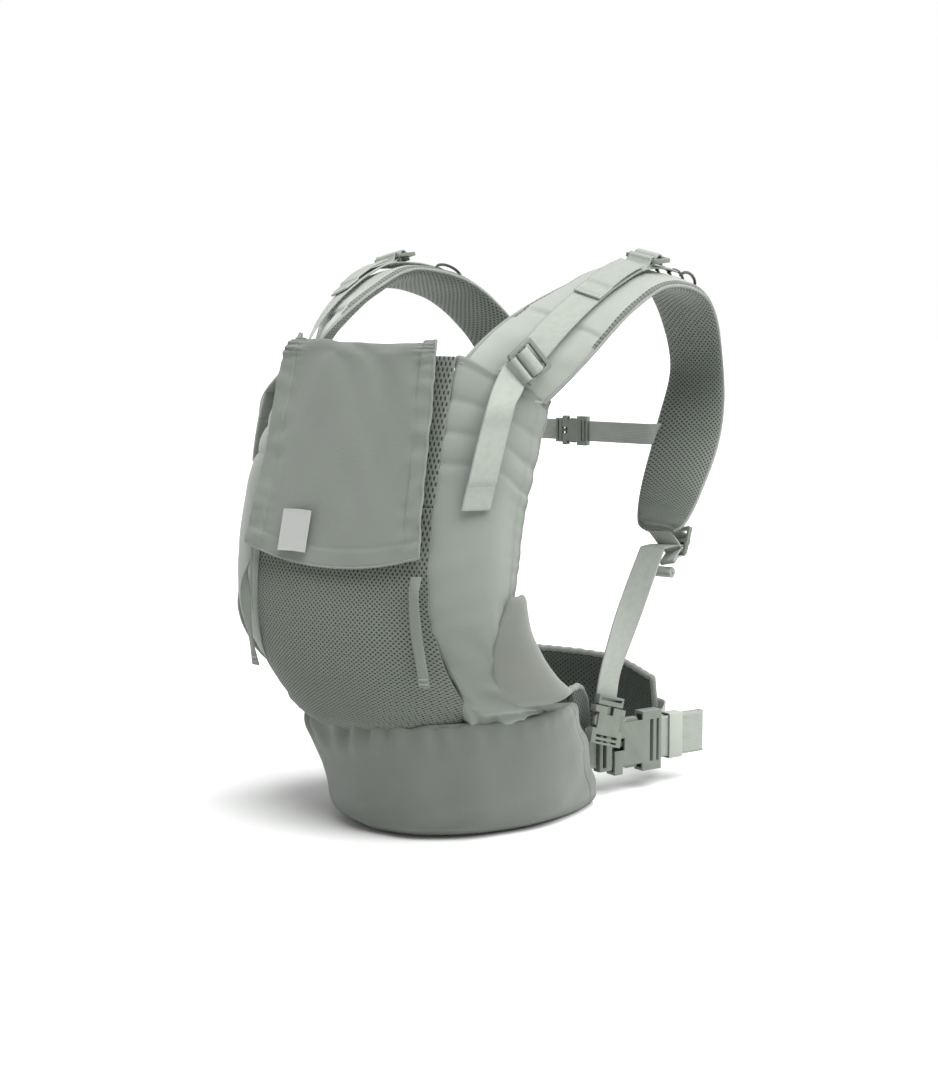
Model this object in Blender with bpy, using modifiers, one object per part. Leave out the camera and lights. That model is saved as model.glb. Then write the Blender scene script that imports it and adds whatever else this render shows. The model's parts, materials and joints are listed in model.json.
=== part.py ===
"""Soft baby carrier with a fold-over hood, mesh seat, padded shoulder straps and a wide waist belt.

Units are metres, +Z is up, -Y is the side that faces away from the wearer, and +X is the wearer's left.
The belt's lower hem rests on z = 0 and the origin is under the middle of the carrier.
"""
import math

import bmesh
import bpy
from mathutils import Matrix, Vector

MM = 0.001

# Webbing and fabric, in metres
WAIST_WEBBING = 40 * MM
STRAP_WEBBING = 25 * MM
CHEST_WEBBING = 20 * MM
WEBBING_THICK = 1.6 * MM
TAPE_TUBE = 4 * MM
PANEL_THICK = 3 * MM
BELT_THICK = 12 * MM
PAD_THICK = 14 * MM
GAP = 0.3 * MM

# The frame's origin lies this far behind the front of the waist hem
ORIGIN_Y = 153.16 * MM
ORIGIN_X = 7.0 * MM

# Buckle and adjuster sizes
LOCK_LENGTH = 28 * MM
LOCK_THICK = 3.5 * MM
LOCK_RIM = 4 * MM
LOCK_BAR = 4 * MM

# Colours, linear
SAGE = (0.33, 0.37, 0.33)
SAGE_LIGHT = (0.42, 0.46, 0.42)
SAGE_DARK = (0.13, 0.16, 0.14)
PLASTIC = (0.36, 0.40, 0.36)
BLACK = (0.02, 0.02, 0.02)
SILVER = (0.62, 0.64, 0.62)

for old in list(bpy.data.objects):
    bpy.data.objects.remove(old, do_unlink=True)

carrier = bpy.data.collections.new("soft_baby_carrier")
cutters = bpy.data.collections.new("cutters")
bpy.context.scene.collection.children.link(carrier)
bpy.context.scene.collection.children.link(cutters)
cutters.hide_render = True


def mm(x, y, z):
    """A point given in millimetres from the front of the waist hem, in the part's frame."""
    return Vector((x * MM - ORIGIN_X, y * MM - ORIGIN_Y, z * MM))


def material(name, colour, roughness, metallic=0.0):
    made = bpy.data.materials.new(name)
    made.use_nodes = True
    shader = made.node_tree.nodes["Principled BSDF"]
    shader.inputs["Base Color"].default_value = (*colour, 1.0)
    shader.inputs["Roughness"].default_value = roughness
    shader.inputs["Metallic"].default_value = metallic
    return made


def add_mesh(name, mesh_data, finish, collection=carrier):
    made = bpy.data.objects.new(name, mesh_data)
    collection.objects.link(made)
    mesh_data.materials.append(material(name, *finish))
    return made


def smooth(points, count):
    """Evenly spaced samples of a Catmull-Rom curve through the points, which may have any size."""
    vectors = [Vector(p) for p in points]
    ends = [vectors[0] * 2 - vectors[1], *vectors, vectors[-1] * 2 - vectors[-2]]
    found = []
    for i in range(count):
        place = i / (count - 1) * (len(vectors) - 1)
        k = min(int(place), len(vectors) - 2)
        t = place - k
        a, b, c, d = ends[k : k + 4]
        found.append(
            0.5 * (2 * b + (c - a) * t)
            + 0.5 * ((2 * a - 5 * b + 4 * c - d) * t**2 + (3 * b - 3 * c + d - a) * t**3)
        )
    return found


def fabric(name, rows, thickness, finish, offset=-1.0):
    """A sheet through rows of points, thickened into one closed solid."""
    bm = bmesh.new()
    grid = [[bm.verts.new(point) for point in row] for row in rows]
    for lower, upper in zip(grid, grid[1:]):
        for i in range(len(lower) - 1):
            bm.faces.new((lower[i], lower[i + 1], upper[i + 1], upper[i]))
    mesh_data = bpy.data.meshes.new(name)
    bm.to_mesh(mesh_data)
    bm.free()
    made = add_mesh(name, mesh_data, finish)
    solid = made.modifiers.new("thickness", "SOLIDIFY")
    solid.thickness = thickness
    solid.offset = offset
    mesh_data.shade_smooth()
    return made


def webbing(name, centres, across, width, finish, count=12, thickness=WEBBING_THICK):
    """A flat strap through the centres, lying across the given direction or list of directions."""
    line = smooth(centres, count)
    if isinstance(across, Vector):
        across = [across] * len(centres)
    sides = [side.normalized() for side in smooth(across, count)]
    rows = [[point - side * width / 2, point, point + side * width / 2] for point, side in zip(line, sides)]
    return fabric(name, rows, thickness, finish, 0.0)


def box(name, low, high, collection=cutters):
    """A closed box between two corners, in its parent's frame."""
    bm = bmesh.new()
    bmesh.ops.create_cube(bm, size=1.0)
    size = [high[i] - low[i] for i in range(3)]
    middle = [(high[i] + low[i]) / 2 for i in range(3)]
    bmesh.ops.transform(bm, matrix=Matrix.Translation(middle) @ Matrix.Diagonal((*size, 1)), verts=bm.verts)
    mesh_data = bpy.data.meshes.new(name)
    bm.to_mesh(mesh_data)
    bm.free()
    made = bpy.data.objects.new(name, mesh_data)
    collection.objects.link(made)
    if collection is cutters:
        made.hide_render = True
        made.display_type = "WIRE"
    return made


def cut(target, cutter, operation="DIFFERENCE"):
    cutter.parent = target.parent
    boolean = target.modifiers.new(cutter.name, "BOOLEAN")
    boolean.operation = operation
    boolean.object = cutter


def frame_empty(name, place, along, outward):
    """An empty whose X runs along the strap, Y across it and Z out of its face."""
    x = along.normalized()
    y = outward.cross(x).normalized()
    z = x.cross(y)
    made = bpy.data.objects.new(name, None)
    made.matrix_world = Matrix.Translation(place) @ Matrix((x, y, z)).transposed().to_4x4()
    made.empty_display_size = 0.01
    carrier.objects.link(made)
    return made


def plate(name, parent, outline, holes, thickness, finish, centre=(0, 0, 0)):
    """A flat moulded plate: a filled outline with holes, in its parent's XY plane."""
    curve = bpy.data.curves.new(name, "CURVE")
    curve.dimensions = "2D"
    curve.fill_mode = "BOTH"
    curve.extrude = thickness / 2
    for loop in [outline, *holes]:
        spline = curve.splines.new("POLY")
        spline.points.add(len(loop) - 1)
        spline.use_cyclic_u = True
        for point, (x, y) in zip(spline.points, loop):
            point.co = (x, y, 0, 1)
    made = bpy.data.objects.new(name, curve)
    carrier.objects.link(made)
    curve.materials.append(material(name, *finish))
    made.parent = parent
    made.location = centre
    return made


def rounded(length, width, radius, steps=3, shift=(0.0, 0.0)):
    """A rectangle's outline with round corners, centred on shift."""
    loop = []
    for quarter in range(4):
        sx = (1, -1, -1, 1)[quarter]
        sy = (1, 1, -1, -1)[quarter]
        for i in range(steps + 1):
            turn = math.pi / 2 * (quarter + i / steps)
            x = sx * (length / 2 - radius) + radius * math.cos(turn) + shift[0]
            y = sy * (width / 2 - radius) + radius * math.sin(turn) + shift[1]
            loop.append((x, y))
    return loop


CLOTH = (SAGE, 0.9)
CLOTH_LIGHT = (SAGE_LIGHT, 0.9)
MESH = (SAGE_DARK, 0.95)
STRAP = (SAGE_LIGHT, 0.85)
MOULDED = (PLASTIC, 0.45)

# Centre panel: spacer mesh from the belt to the top edge, bulging into a seat near the bottom.
# Each station is height, y at the middle, y at the edge and half width.
PANEL_STATIONS = [
    (112, -52, 12, 98),
    (135, -64, -14, 102),
    (165, -69, -36, 101),
    (205, -68, -48, 98),
    (250, -58, -50, 95),
    (335, -35, -32, 94),
    (424, -12, -7, 92),
]
PANEL_COLUMNS = 8
PANEL_ROWS = 14
PANEL_FULLNESS = 2.6  # how square the bulge is from side to side


def across_panel(station, dip=0.0):
    """A row of points across the carrier at one station, dipping towards the middle."""
    height, middle, edge, half = station
    row = []
    for i in range(PANEL_COLUMNS + 1):
        u = 2 * i / PANEL_COLUMNS - 1
        y = middle + (edge - middle) * abs(u) ** PANEL_FULLNESS
        row.append(mm(half * u, y, height - dip * (1 - u * u)))
    return row


panel_rows = [across_panel(tuple(s)) for s in smooth(PANEL_STATIONS, PANEL_ROWS)]
fabric("seat_mesh_panel", panel_rows, PANEL_THICK, MESH)

# Hood: a double cloth flap in front of the panel, rolled over the panel's top edge.
HOOD_STATIONS = [
    (259, -67, -62, 94),
    (305, -55, -51, 90),
    (360, -41, -37, 86),
    (415, -27, -23, 82),
    (433, -20, -17, 81),
    (436, -10, -8, 81),
    (430, 0, 2, 81),
]
HOOD_DIP = 14
HOOD_ROWS = 12
hood_rows = []
for i, station in enumerate(smooth(HOOD_STATIONS, HOOD_ROWS)):
    hood_rows.append(across_panel(tuple(station), HOOD_DIP * (1 - i / (HOOD_ROWS - 1)) ** 2))
fabric("hood_flap", hood_rows, PANEL_THICK, CLOTH)

LABEL_WIDTH = 30
LABEL_HEIGHT = 35
LABEL_X = -50
LABEL_LOW = 256
LABEL_FRONT = (-69.6, -61.2)  # at its lower and upper edge
LABEL_CURVE = 0.6
LABEL_THICK = 0.8 * MM
label_rows = []
for height, front in zip((LABEL_LOW, LABEL_LOW + LABEL_HEIGHT), LABEL_FRONT):
    row = [mm(LABEL_X + LABEL_WIDTH * k / 2, front + LABEL_CURVE * (1 - k), height) for k in range(3)]
    label_rows.append(row)
fabric("woven_label", label_rows, LABEL_THICK, (SILVER, 0.6), 1.0)

# Side panels: from the mesh panel's edge round the child's sides, with the quilted yoke at the top.
SIDE_FRONT = [(105, 16, 126), (105, -20, 150), (103, -42, 190), (99, -48, 250), (97, -30, 335)]
SIDE_FRONT += [(96, -4, 416)]
SIDE_MIDDLE = [(115, 34, 125), (127, -2, 150), (138, -22, 190), (139, -22, 250), (130, -2, 330)]
SIDE_MIDDLE += [(116, 28, 398)]
SIDE_BACK = [(121, 44, 124), (124, 12, 150), (133, 0, 186), (141, 14, 240), (139, 34, 305), (134, 70, 378)]
LEG_FRONT = [(143, 12, 228), (137, 1, 190), (129, 14, 154), (126, 42, 131), (124, 76, 126)]
LEG_BACK = [(144, 30, 224), (144, 36, 190), (142, 56, 158), (138, 86, 137), (130, 112, 126)]
LEG_CROWN = Vector((3, 0, 0))
LEG_THICK = 9 * MM
SIDE_ROWS = 11
SIDE_COLUMNS = 6
LEG_ROWS = 7

for side, label in ((1, "left"), (-1, "right")):

    def place(p, s=side):
        return mm(p[0] * s, p[1], p[2])

    edges = [smooth(curve, SIDE_ROWS) for curve in (SIDE_FRONT, SIDE_MIDDLE, SIDE_BACK)]
    rows = [[place(point) for point in smooth(row, SIDE_COLUMNS)] for row in zip(*edges)]
    fabric(f"side_panel_{label}", rows, PANEL_THICK, CLOTH_LIGHT, -1.0 * side)
    rows = []
    for front, back in zip(smooth(LEG_FRONT, LEG_ROWS), smooth(LEG_BACK, LEG_ROWS)):
        rows.append([place(front), place((front + back) / 2 + LEG_CROWN), place(back)])
    fabric(f"leg_cushion_{label}", rows, LEG_THICK, CLOTH_LIGHT, -1.0 * side)

# Waist belt: a deep padded cover round the front and sides, leaning forward towards its top.
BELT_PLAN = [(-100, 194), (-105, 140), (-93, 88), (-64, 40), (-32, 11), (8, 0)]
BELT_PLAN += [(50, 6), (84, 36), (106, 84), (113, 140), (104, 194)]
BELT_LOW = 7.9
BELT_HIGH = 106
BELT_LEAN = -30
BELT_FLARE = {-1: 0.19, 1: 0.07}
BELT_END = 120
BELT_END_SLANT = 22
BELT_SHARES = (0.0, 0.1, 0.4, 0.7, 1.0)
BELT_TUCK = 8
BELT_COLUMNS = 27


def belt_point(plan, share):
    """A point of the cover: it flares and leans forward towards the top, and its ends slant."""
    x = plan[0] * (1 + BELT_FLARE[1 if plan[0] > 0 else -1] * share)
    ends = max(plan[1] - BELT_END, 0) / (BELT_PLAN[0][1] - BELT_END) * BELT_END_SLANT * share
    tuck = BELT_TUCK if share == 0 else 0
    y = plan[1] + BELT_LEAN * share - ends + tuck
    return mm(x - math.copysign(min(tuck, abs(x)), x), y, BELT_LOW + (BELT_HIGH - BELT_LOW) * share)


belt_line = smooth(BELT_PLAN, BELT_COLUMNS)
belt_rows = [[belt_point(p, share) for p in belt_line] for share in BELT_SHARES]
waist_belt = fabric("waist_belt", belt_rows, BELT_THICK, CLOTH, 1.0)

# The hem is pressed flat where the belt stands on it
FLOOR_REACH = 300 * MM
cut(waist_belt, box("hem_flat", (-FLOOR_REACH, -FLOOR_REACH, -20 * MM), (FLOOR_REACH, FLOOR_REACH, 0.0)))

# Belt wings: padded mesh inside, one seen right across the back and one ending at the hip.
FAR_WING = [
    (-92, 206, 22, 110),
    (-94, 262, 24, 112),
    (-76, 318, 26, 112),
    (-30, 350, 28, 110),
    (36, 358, 30, 106),
    (84, 352, 44, 92),
]
NEAR_WING = [(83, 196, 16, 104), (80, 220, 22, 104), (77, 236, 38, 90)]
WING_LEAN = -8
WING_THICK = 10 * MM


def wing(name, stations, count):
    """A padded wing: each station is a place in plan with its lower and upper height."""
    found = smooth(stations, count)
    rows = []
    for share in (0.0, 0.5, 1.0):
        rows.append([mm(x, y + WING_LEAN * share, low + (high - low) * share) for x, y, low, high in found])
    return fabric(name, rows, WING_THICK, MESH, 0.0)


wing("belt_wing_right", FAR_WING, 14)
wing("belt_wing_left", NEAR_WING, 6)

# Shoulder straps: each is a padded arc from the yoke over the shoulder and back under the arm.
# Each station is a centre, the direction across the pad and half its width.
STRAP_STATIONS = [
    (113, 34, 402, 0.45, 0.80, -0.42, 43),
    (129, 80, 437, 0.78, 0.50, -0.36, 40),
    (141, 140, 470, 0.95, 0.16, -0.30, 34),
    (146, 208, 489, 0.97, 0.00, -0.22, 33),
    (136, 298, 470, 0.97, 0.00, -0.14, 32),
    (118, 364, 404, 0.98, -0.15, 0.00, 31),
    (116, 352, 338, 0.95, 0.22, 0.00, 32),
    (118, 316, 284, 1.00, 0.00, 0.00, 32),
    (119, 297, 256, 1.00, 0.00, 0.00, 25),
    (119, 291, 248, 1.00, 0.00, 0.00, 15),
]
STRAP_SAMPLES = 28
STRAP_FINE = 200
RIGHT_LEAN = 14  # the right-hand strap leans in towards the middle


def beside(place, side):
    """A point of a strap on the left (1) or the right (-1) of the carrier."""
    return mm(place[0] * side + (RIGHT_LEAN if side < 0 else 0), place[1], place[2])


def strap_at(share, side=1):
    """Centre, tangent, across and outward directions of a shoulder strap at a share of its length."""
    samples = smooth(STRAP_STATIONS, STRAP_FINE + 1)
    k = min(max(int(share * STRAP_FINE), 1), STRAP_FINE - 1)
    here, before, after = samples[k], samples[k - 1], samples[k + 1]
    flip = Vector((side, 1, 1))
    centre = beside(here, side)
    tangent = (Vector(after[:3]) - Vector(before[:3])).normalized() * flip
    across = Vector(here[3:6]).normalized() * flip
    outward = across.cross(tangent).normalized() * side
    return centre, tangent, across, outward


# Share of the strap's length where each piece sits on it, and how far above the pad's middle
FRONT_LOCK_AT = 0.02
TOP_LOCK_AT = 0.325
LOCK_RISE = PAD_THICK / 2 + 11 * MM
WEB_RISE = PAD_THICK / 2 + 5 * MM
TAIL_RISE = PAD_THICK / 2 + 9 * MM
TOP_TAIL_SHARES = (0.305, 0.27, 0.235, 0.195)
TOP_WEB_SHARES = (0.03, 0.06, 0.11, 0.16, 0.21, 0.26, 0.31, 0.36, 0.39)
LOOP_AT = 0.43
LOOP_RADIUS = 7 * MM
LOOP_HEIGHT = 5 * MM
LOOP_STEPS = 8
LOOP_WIRE = 1 * MM
# The left-hand tail hangs over the front of the side panel, and the right-hand one lies further back
FRONT_TAIL = {
    "left": [(138, -4, 386), (137, -14, 362), (135, -24, 332), (130, -30, 298)],
    "right": [(142, 34, 384), (146, 30, 360), (149, 26, 330), (150, 24, 300)],
}
FRONT_TAIL_ACROSS = {"left": Vector((0.6, 0.8, 0.0)), "right": Vector((0.0, 1.0, 0.0))}
LOWER_WEB = [(116, 286, 232), (112, 262, 190), (109, 240, 150), (108, 222.5, 119), (108, 214, 92)]
LOWER_WEB_ACROSS = [(1, 0.1, 0), (0.9, 0.35, 0), (0.6, 0.8, 0), (0.35, 0.94, 0), (0.35, 0.94, 0)]
LOWER_LOCK = (133, 302, 226)
ROLL_PLACE = (121, 294, 208)
ROLL_RADIUS = 6 * MM
HOOD_TAPE = [(91, -61, 243), (92, -66, 228), (92.5, -64, 200), (93, -58, 172), (93, -52, 148)]
TAPE_POINTS = 24


def ladder_lock(name, holder, width):
    """A flat frame with two slots, turning on its sewn end bar at the holder's origin."""
    middle = LOCK_LENGTH / 2 - LOCK_BAR / 2
    outer = rounded(LOCK_LENGTH, width + 2 * LOCK_RIM, 3 * MM, 3, (middle, 0.0))
    slot = (LOCK_LENGTH - 3 * LOCK_BAR) / 2
    reach = (LOCK_BAR + slot) / 2
    holes = [rounded(slot, width, 1.5 * MM, 2, (middle + sign * reach, 0.0)) for sign in (1, -1)]
    return plate(name, holder, outer, holes, LOCK_THICK, MOULDED)


def tube(name, points, radius, finish):
    """A round cord through the points, with closed ends."""
    curve = bpy.data.curves.new(name, "CURVE")
    curve.dimensions = "3D"
    curve.bevel_depth = radius
    curve.bevel_resolution = 2
    curve.use_fill_caps = True
    spline = curve.splines.new("POLY")
    spline.points.add(len(points) - 1)
    for point, place in zip(spline.points, points):
        point.co = (*place, 1)
    made = bpy.data.objects.new(name, curve)
    carrier.objects.link(made)
    curve.materials.append(material(name, *finish))
    return made


def along_strap(shares, rise, side):
    """Points above the pad's middle, with the directions across it."""
    route, acrosses = [], []
    for share in shares:
        centre, _, across, outward = strap_at(share, side)
        route.append(centre + outward * rise)
        acrosses.append(across)
    return route, acrosses


for side, label in ((1, "left"), (-1, "right")):
    flip = Vector((side, 1, 1))
    rows = []
    for here in smooth(STRAP_STATIONS, STRAP_SAMPLES + 1):
        centre = beside(here, side)
        reach = Vector(here[3:6]).normalized() * flip * here[6] * MM
        rows.append([centre - reach, centre, centre + reach])
    fabric(f"shoulder_pad_{label}", rows, PAD_THICK, CLOTH_LIGHT, 0.0)

    # Webbing over the top of the pad, with an adjuster at each end and a sewn tail from each
    route, acrosses = along_strap(TOP_WEB_SHARES, WEB_RISE, side)
    webbing(f"top_webbing_{label}", route, acrosses, STRAP_WEBBING, STRAP, 18)
    route, acrosses = along_strap(TOP_TAIL_SHARES, TAIL_RISE, side)
    webbing(f"top_tail_{label}", route, acrosses, STRAP_WEBBING, STRAP, 6)
    tail = [mm(x * side, y, z) for x, y, z in FRONT_TAIL[label]]
    webbing(f"front_tail_{label}", tail, FRONT_TAIL_ACROSS[label] * flip, STRAP_WEBBING, STRAP, 6)
    for name, share in (("front_adjuster", FRONT_LOCK_AT), ("top_adjuster", TOP_LOCK_AT)):
        centre, tangent, _, outward = strap_at(share, side)
        holder = frame_empty(f"{name}_{label}_axis", centre + outward * LOCK_RISE, tangent, outward)
        ladder_lock(f"{name}_{label}", holder, STRAP_WEBBING)
    centre, tangent, _, outward = strap_at(LOOP_AT, side)
    arch = []
    for i in range(LOOP_STEPS + 1):
        turn = math.pi * i / LOOP_STEPS
        rise = outward * (PAD_THICK / 2 + LOOP_WIRE + 2 * GAP + LOOP_HEIGHT * math.sin(turn))
        arch.append(centre + tangent * LOOP_RADIUS * math.cos(turn) + rise)
    tube(f"elastic_loop_{label}", arch, LOOP_WIRE, (BLACK, 0.8))

    # Lower end of the pad: adjuster, rolled spare webbing and the webbing down to the hip
    place = beside(LOWER_LOCK, side)
    along, outward = Vector((0, 0.45, 1)), Vector((0.5 * side, 1, 0))
    holder = frame_empty(f"lower_adjuster_{label}_axis", place, along, outward)
    ladder_lock(f"lower_adjuster_{label}", holder, STRAP_WEBBING)
    place = beside(ROLL_PLACE, side)
    reach = Vector((side * STRAP_WEBBING / 2, 0, 0))
    tube(f"rolled_webbing_{label}", [place - reach, place + reach], ROLL_RADIUS, STRAP)
    route = [beside(LOWER_WEB[0], side)] + [mm(x * side, y, z) for x, y, z in LOWER_WEB[1:]]
    acrosses = [Vector(a) * flip for a in LOWER_WEB_ACROSS]
    webbing(f"lower_webbing_{label}", route, acrosses, STRAP_WEBBING, STRAP, 10)

    # Tape of the hood's drawstring, hanging from its lower corner
    route = [mm(x * side, y, z) for x, y, z in HOOD_TAPE]
    tube(f"hood_tape_{label}", smooth(route, TAPE_POINTS), TAPE_TUBE / 2, CLOTH)

# Side-release buckles, sized by their webbing. The sizes are those of the 40 mm one, in millimetres
# from the middle of the socket: X runs from the tongue to the socket's bar, Y across, Z out of the face.
SOCKET_LOW, SOCKET_HIGH = (-25, -29, -6.5), (32, 29, 6.5)
CHANNEL_LOW, CHANNEL_HIGH = (-27, -26, -4), (14, 26, 4)
WINDOW_LOW, WINDOW_HIGH = (-15, 21, -9), (9, 32, 9)
SLOTS = ((18, 22), (26, 29))
SLOT_REACH = 20.6
NOTCH_LOW, NOTCH_HIGH = (-28, -6, 3), (-13, 6, 9)
BASE_LOW, BASE_HIGH = (-42, -24, -5), (-27, 24, 5)
BASE_SLOT = (-38, -34)
GUIDE_LOW, GUIDE_HIGH = (-29, -3, -2.5), (4, 3, 2.5)
ARM_ROOT = -26
ARM_OUTLINE = [(0, -3), (0, 3), (12, 4), (18, 8.5), (30, 8.5), (33, 4), (33, -2), (20, -3)]
ARM_OFF_AXIS = 16
ARM_THICK = 6


def side_release(label, holder, web):
    """A socket, a tongue with its guide, and the tongue's two sprung arms, each on its own root."""
    scale = web / WAIST_WEBBING * MM

    def sized(corner, flip=1):
        return (corner[0] * scale, corner[1] * scale * flip, corner[2] * scale)

    def shell(name, low, high):
        made = box(name, sized(low), sized(high), carrier)
        made.data.materials.append(material(name, *MOULDED))
        made.parent = holder
        return made

    socket = shell(f"{label}_buckle_socket", SOCKET_LOW, SOCKET_HIGH)
    cut(socket, box(f"{label}_channel", sized(CHANNEL_LOW), sized(CHANNEL_HIGH)))
    cut(socket, box(f"{label}_notch", sized(NOTCH_LOW), sized(NOTCH_HIGH)))
    cut(socket, box(f"{label}_window_top", sized(WINDOW_LOW), sized(WINDOW_HIGH)))
    low = (WINDOW_LOW[0], -WINDOW_HIGH[1], WINDOW_LOW[2])
    high = (WINDOW_HIGH[0], -WINDOW_LOW[1], WINDOW_HIGH[2])
    cut(socket, box(f"{label}_window_low", sized(low), sized(high)))
    for i, (start, end) in enumerate(SLOTS):
        cut(socket, box(f"{label}_slot_{i}", sized((start, -SLOT_REACH, -9)), sized((end, SLOT_REACH, 9))))

    tongue = shell(f"{label}_buckle_tongue", BASE_LOW, BASE_HIGH)
    low, high = (BASE_SLOT[0], -SLOT_REACH, -9), (BASE_SLOT[1], SLOT_REACH, 9)
    cut(tongue, box(f"{label}_tongue_slot", sized(low), sized(high)))
    cut(tongue, box(f"{label}_guide", sized(GUIDE_LOW), sized(GUIDE_HIGH)), "UNION")

    for name, flip in (("upper", 1), ("lower", -1)):
        outline = [(x * scale, y * scale * flip) for x, y in ARM_OUTLINE]
        place = (ARM_ROOT * scale, ARM_OFF_AXIS * scale * flip, 0)
        plate(f"{label}_buckle_{name}_arm", holder, outline, [], ARM_THICK * scale, MOULDED, place)


# Waist buckle: it closes the belt behind the wearer's left hip
WAIST_PLACE = Vector((111, 258, 47))
WAIST_ALONG = Vector((0.35, 0.94, 0)).normalized()
WAIST_OUT = Vector((0.94, -0.35, 0)).normalized()
holder = frame_empty("waist_buckle_axis", mm(*WAIST_PLACE), WAIST_ALONG, WAIST_OUT)
side_release("waist", holder, WAIST_WEBBING)


def waist_point(along, out):
    """A point on the waist webbing's line, from the middle of the buckle."""
    return mm(*(WAIST_PLACE + WAIST_ALONG * along + WAIST_OUT * out))


UP = Vector((0, 0, 1))
NEAR_WEB_START = mm(102, 196, 47)
route = [NEAR_WEB_START, waist_point(-56, 1), waist_point(-43, 0)]
webbing("waist_webbing_left", route, UP, WAIST_WEBBING, STRAP, 6)
FAR_WEB_END = mm(97, 346, 50)
route = [waist_point(33, -4), waist_point(52, -19), FAR_WEB_END]
webbing("waist_webbing_right", route, UP, WAIST_WEBBING, STRAP, 8)

# Spare waist webbing: it leaves the socket's bar, folds back and lies doubled under the keeper
FOLD_AT = 87
FOLD_RADIUS = 3.5
FOLD_STEPS = 4
tail = [waist_point(33, 0), waist_point(50, 0), waist_point(70, 0)]
for step in range(FOLD_STEPS + 1):
    turn = math.pi * step / FOLD_STEPS
    tail.append(waist_point(FOLD_AT + FOLD_RADIUS * math.sin(turn), FOLD_RADIUS * (math.cos(turn) - 1)))
tail += [waist_point(66, -2 * FOLD_RADIUS), waist_point(42, -2 * FOLD_RADIUS)]
webbing("waist_tail", tail, UP, WAIST_WEBBING, STRAP, 22)

# Elastic keeper round both layers of the spare webbing
KEEPER = (45, 61)
KEEPER_OUT = (3.5, -10.5)
KEEPER_HALF = WAIST_WEBBING / 2 + 2.4 * MM
KEEPER_THICK = 1.2 * MM
middle = (KEEPER_OUT[0] + KEEPER_OUT[1]) / 2
half_deep = (KEEPER_OUT[0] - KEEPER_OUT[1]) / 2 * MM
centre = waist_point(sum(KEEPER) / 2, middle)
holder = frame_empty("waist_keeper_axis", centre, WAIST_OUT, WAIST_ALONG)
outer = rounded(2 * half_deep, 2 * KEEPER_HALF, 2 * MM, 2)
inner = rounded(2 * half_deep - 2 * KEEPER_THICK, 2 * KEEPER_HALF - 2 * KEEPER_THICK, 1 * MM, 2)
plate("waist_webbing_keeper", holder, outer, [inner], (KEEPER[1] - KEEPER[0]) * MM, STRAP)

# Chest strap between the shoulder pads, with its own buckle in the middle
CHEST_PLACE = (-3, 334, 336)
CHEST_REACH = 82
CHEST_BEHIND = 5  # the right-hand webbing passes this far behind the tongue
holder = frame_empty("chest_buckle_axis", mm(*CHEST_PLACE), Vector((1, 0, 0)), Vector((0, -1, 0)))
side_release("chest", holder, CHEST_WEBBING)


def chest_point(x, behind=0.0):
    """A point of the chest webbing, level with the buckle."""
    return mm(x, CHEST_PLACE[1] + behind, CHEST_PLACE[2])


socket_end = CHEST_PLACE[0] + SOCKET_HIGH[0] * CHEST_WEBBING / WAIST_WEBBING + 0.5
route = [chest_point(socket_end), chest_point(CHEST_REACH)]
webbing("chest_webbing_left", route, UP, CHEST_WEBBING, STRAP, 5)
route = [chest_point(RIGHT_LEAN - CHEST_REACH), chest_point(-56, 2)]
route += [chest_point(-44, CHEST_BEHIND), chest_point(-19, CHEST_BEHIND)]
webbing("chest_webbing_right", route, UP, CHEST_WEBBING, STRAP, 9)

# Hip buckles: each joins a shoulder strap's lower webbing to the belt
HIP_PLACE = (114, 206, 74)
for side, label in ((1, "left"), (-1, "right")):
    place = mm(HIP_PLACE[0] * side, *HIP_PLACE[1:])
    along, outward = Vector((0, -0.3, -0.95)), Vector((0.94 * side, -0.35, 0))
    holder = frame_empty(f"hip_{label}_axis", place, along, outward)
    side_release(f"hip_{label}", holder, STRAP_WEBBING)
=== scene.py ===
"""Looks of a soft baby carrier: mesh seat, fold-over hood, padded shoulder straps and a wide waist belt.

Units are metres, +Z is up and +X is the wearer's left. A piece that stands for a solid lies where it lies.
"""

import json
import math
from functools import lru_cache

import bmesh
import bpy
from mathutils import Matrix, Vector, noise


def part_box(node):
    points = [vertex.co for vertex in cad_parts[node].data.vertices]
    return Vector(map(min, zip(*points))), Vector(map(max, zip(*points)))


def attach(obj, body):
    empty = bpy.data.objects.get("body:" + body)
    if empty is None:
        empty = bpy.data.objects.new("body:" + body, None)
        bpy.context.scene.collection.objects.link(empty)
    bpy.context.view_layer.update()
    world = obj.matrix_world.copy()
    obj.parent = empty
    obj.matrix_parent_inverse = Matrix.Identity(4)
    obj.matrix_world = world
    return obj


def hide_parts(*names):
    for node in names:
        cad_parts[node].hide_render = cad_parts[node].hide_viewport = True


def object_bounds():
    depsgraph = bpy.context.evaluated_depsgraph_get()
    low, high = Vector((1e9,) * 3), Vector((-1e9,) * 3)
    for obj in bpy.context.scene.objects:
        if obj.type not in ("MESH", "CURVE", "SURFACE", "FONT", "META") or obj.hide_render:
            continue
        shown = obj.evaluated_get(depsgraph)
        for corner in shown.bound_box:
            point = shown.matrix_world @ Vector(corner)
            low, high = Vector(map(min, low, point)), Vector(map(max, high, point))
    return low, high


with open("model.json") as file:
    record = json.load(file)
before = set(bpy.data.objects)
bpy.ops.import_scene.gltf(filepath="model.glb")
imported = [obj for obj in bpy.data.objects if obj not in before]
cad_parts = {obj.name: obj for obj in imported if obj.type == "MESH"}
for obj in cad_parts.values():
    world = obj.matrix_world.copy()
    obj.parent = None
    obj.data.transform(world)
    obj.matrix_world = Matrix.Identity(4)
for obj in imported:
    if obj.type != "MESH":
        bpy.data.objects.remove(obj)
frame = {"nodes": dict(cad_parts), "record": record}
cad_box = [list(corner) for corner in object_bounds()]
MM = 0.001

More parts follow.
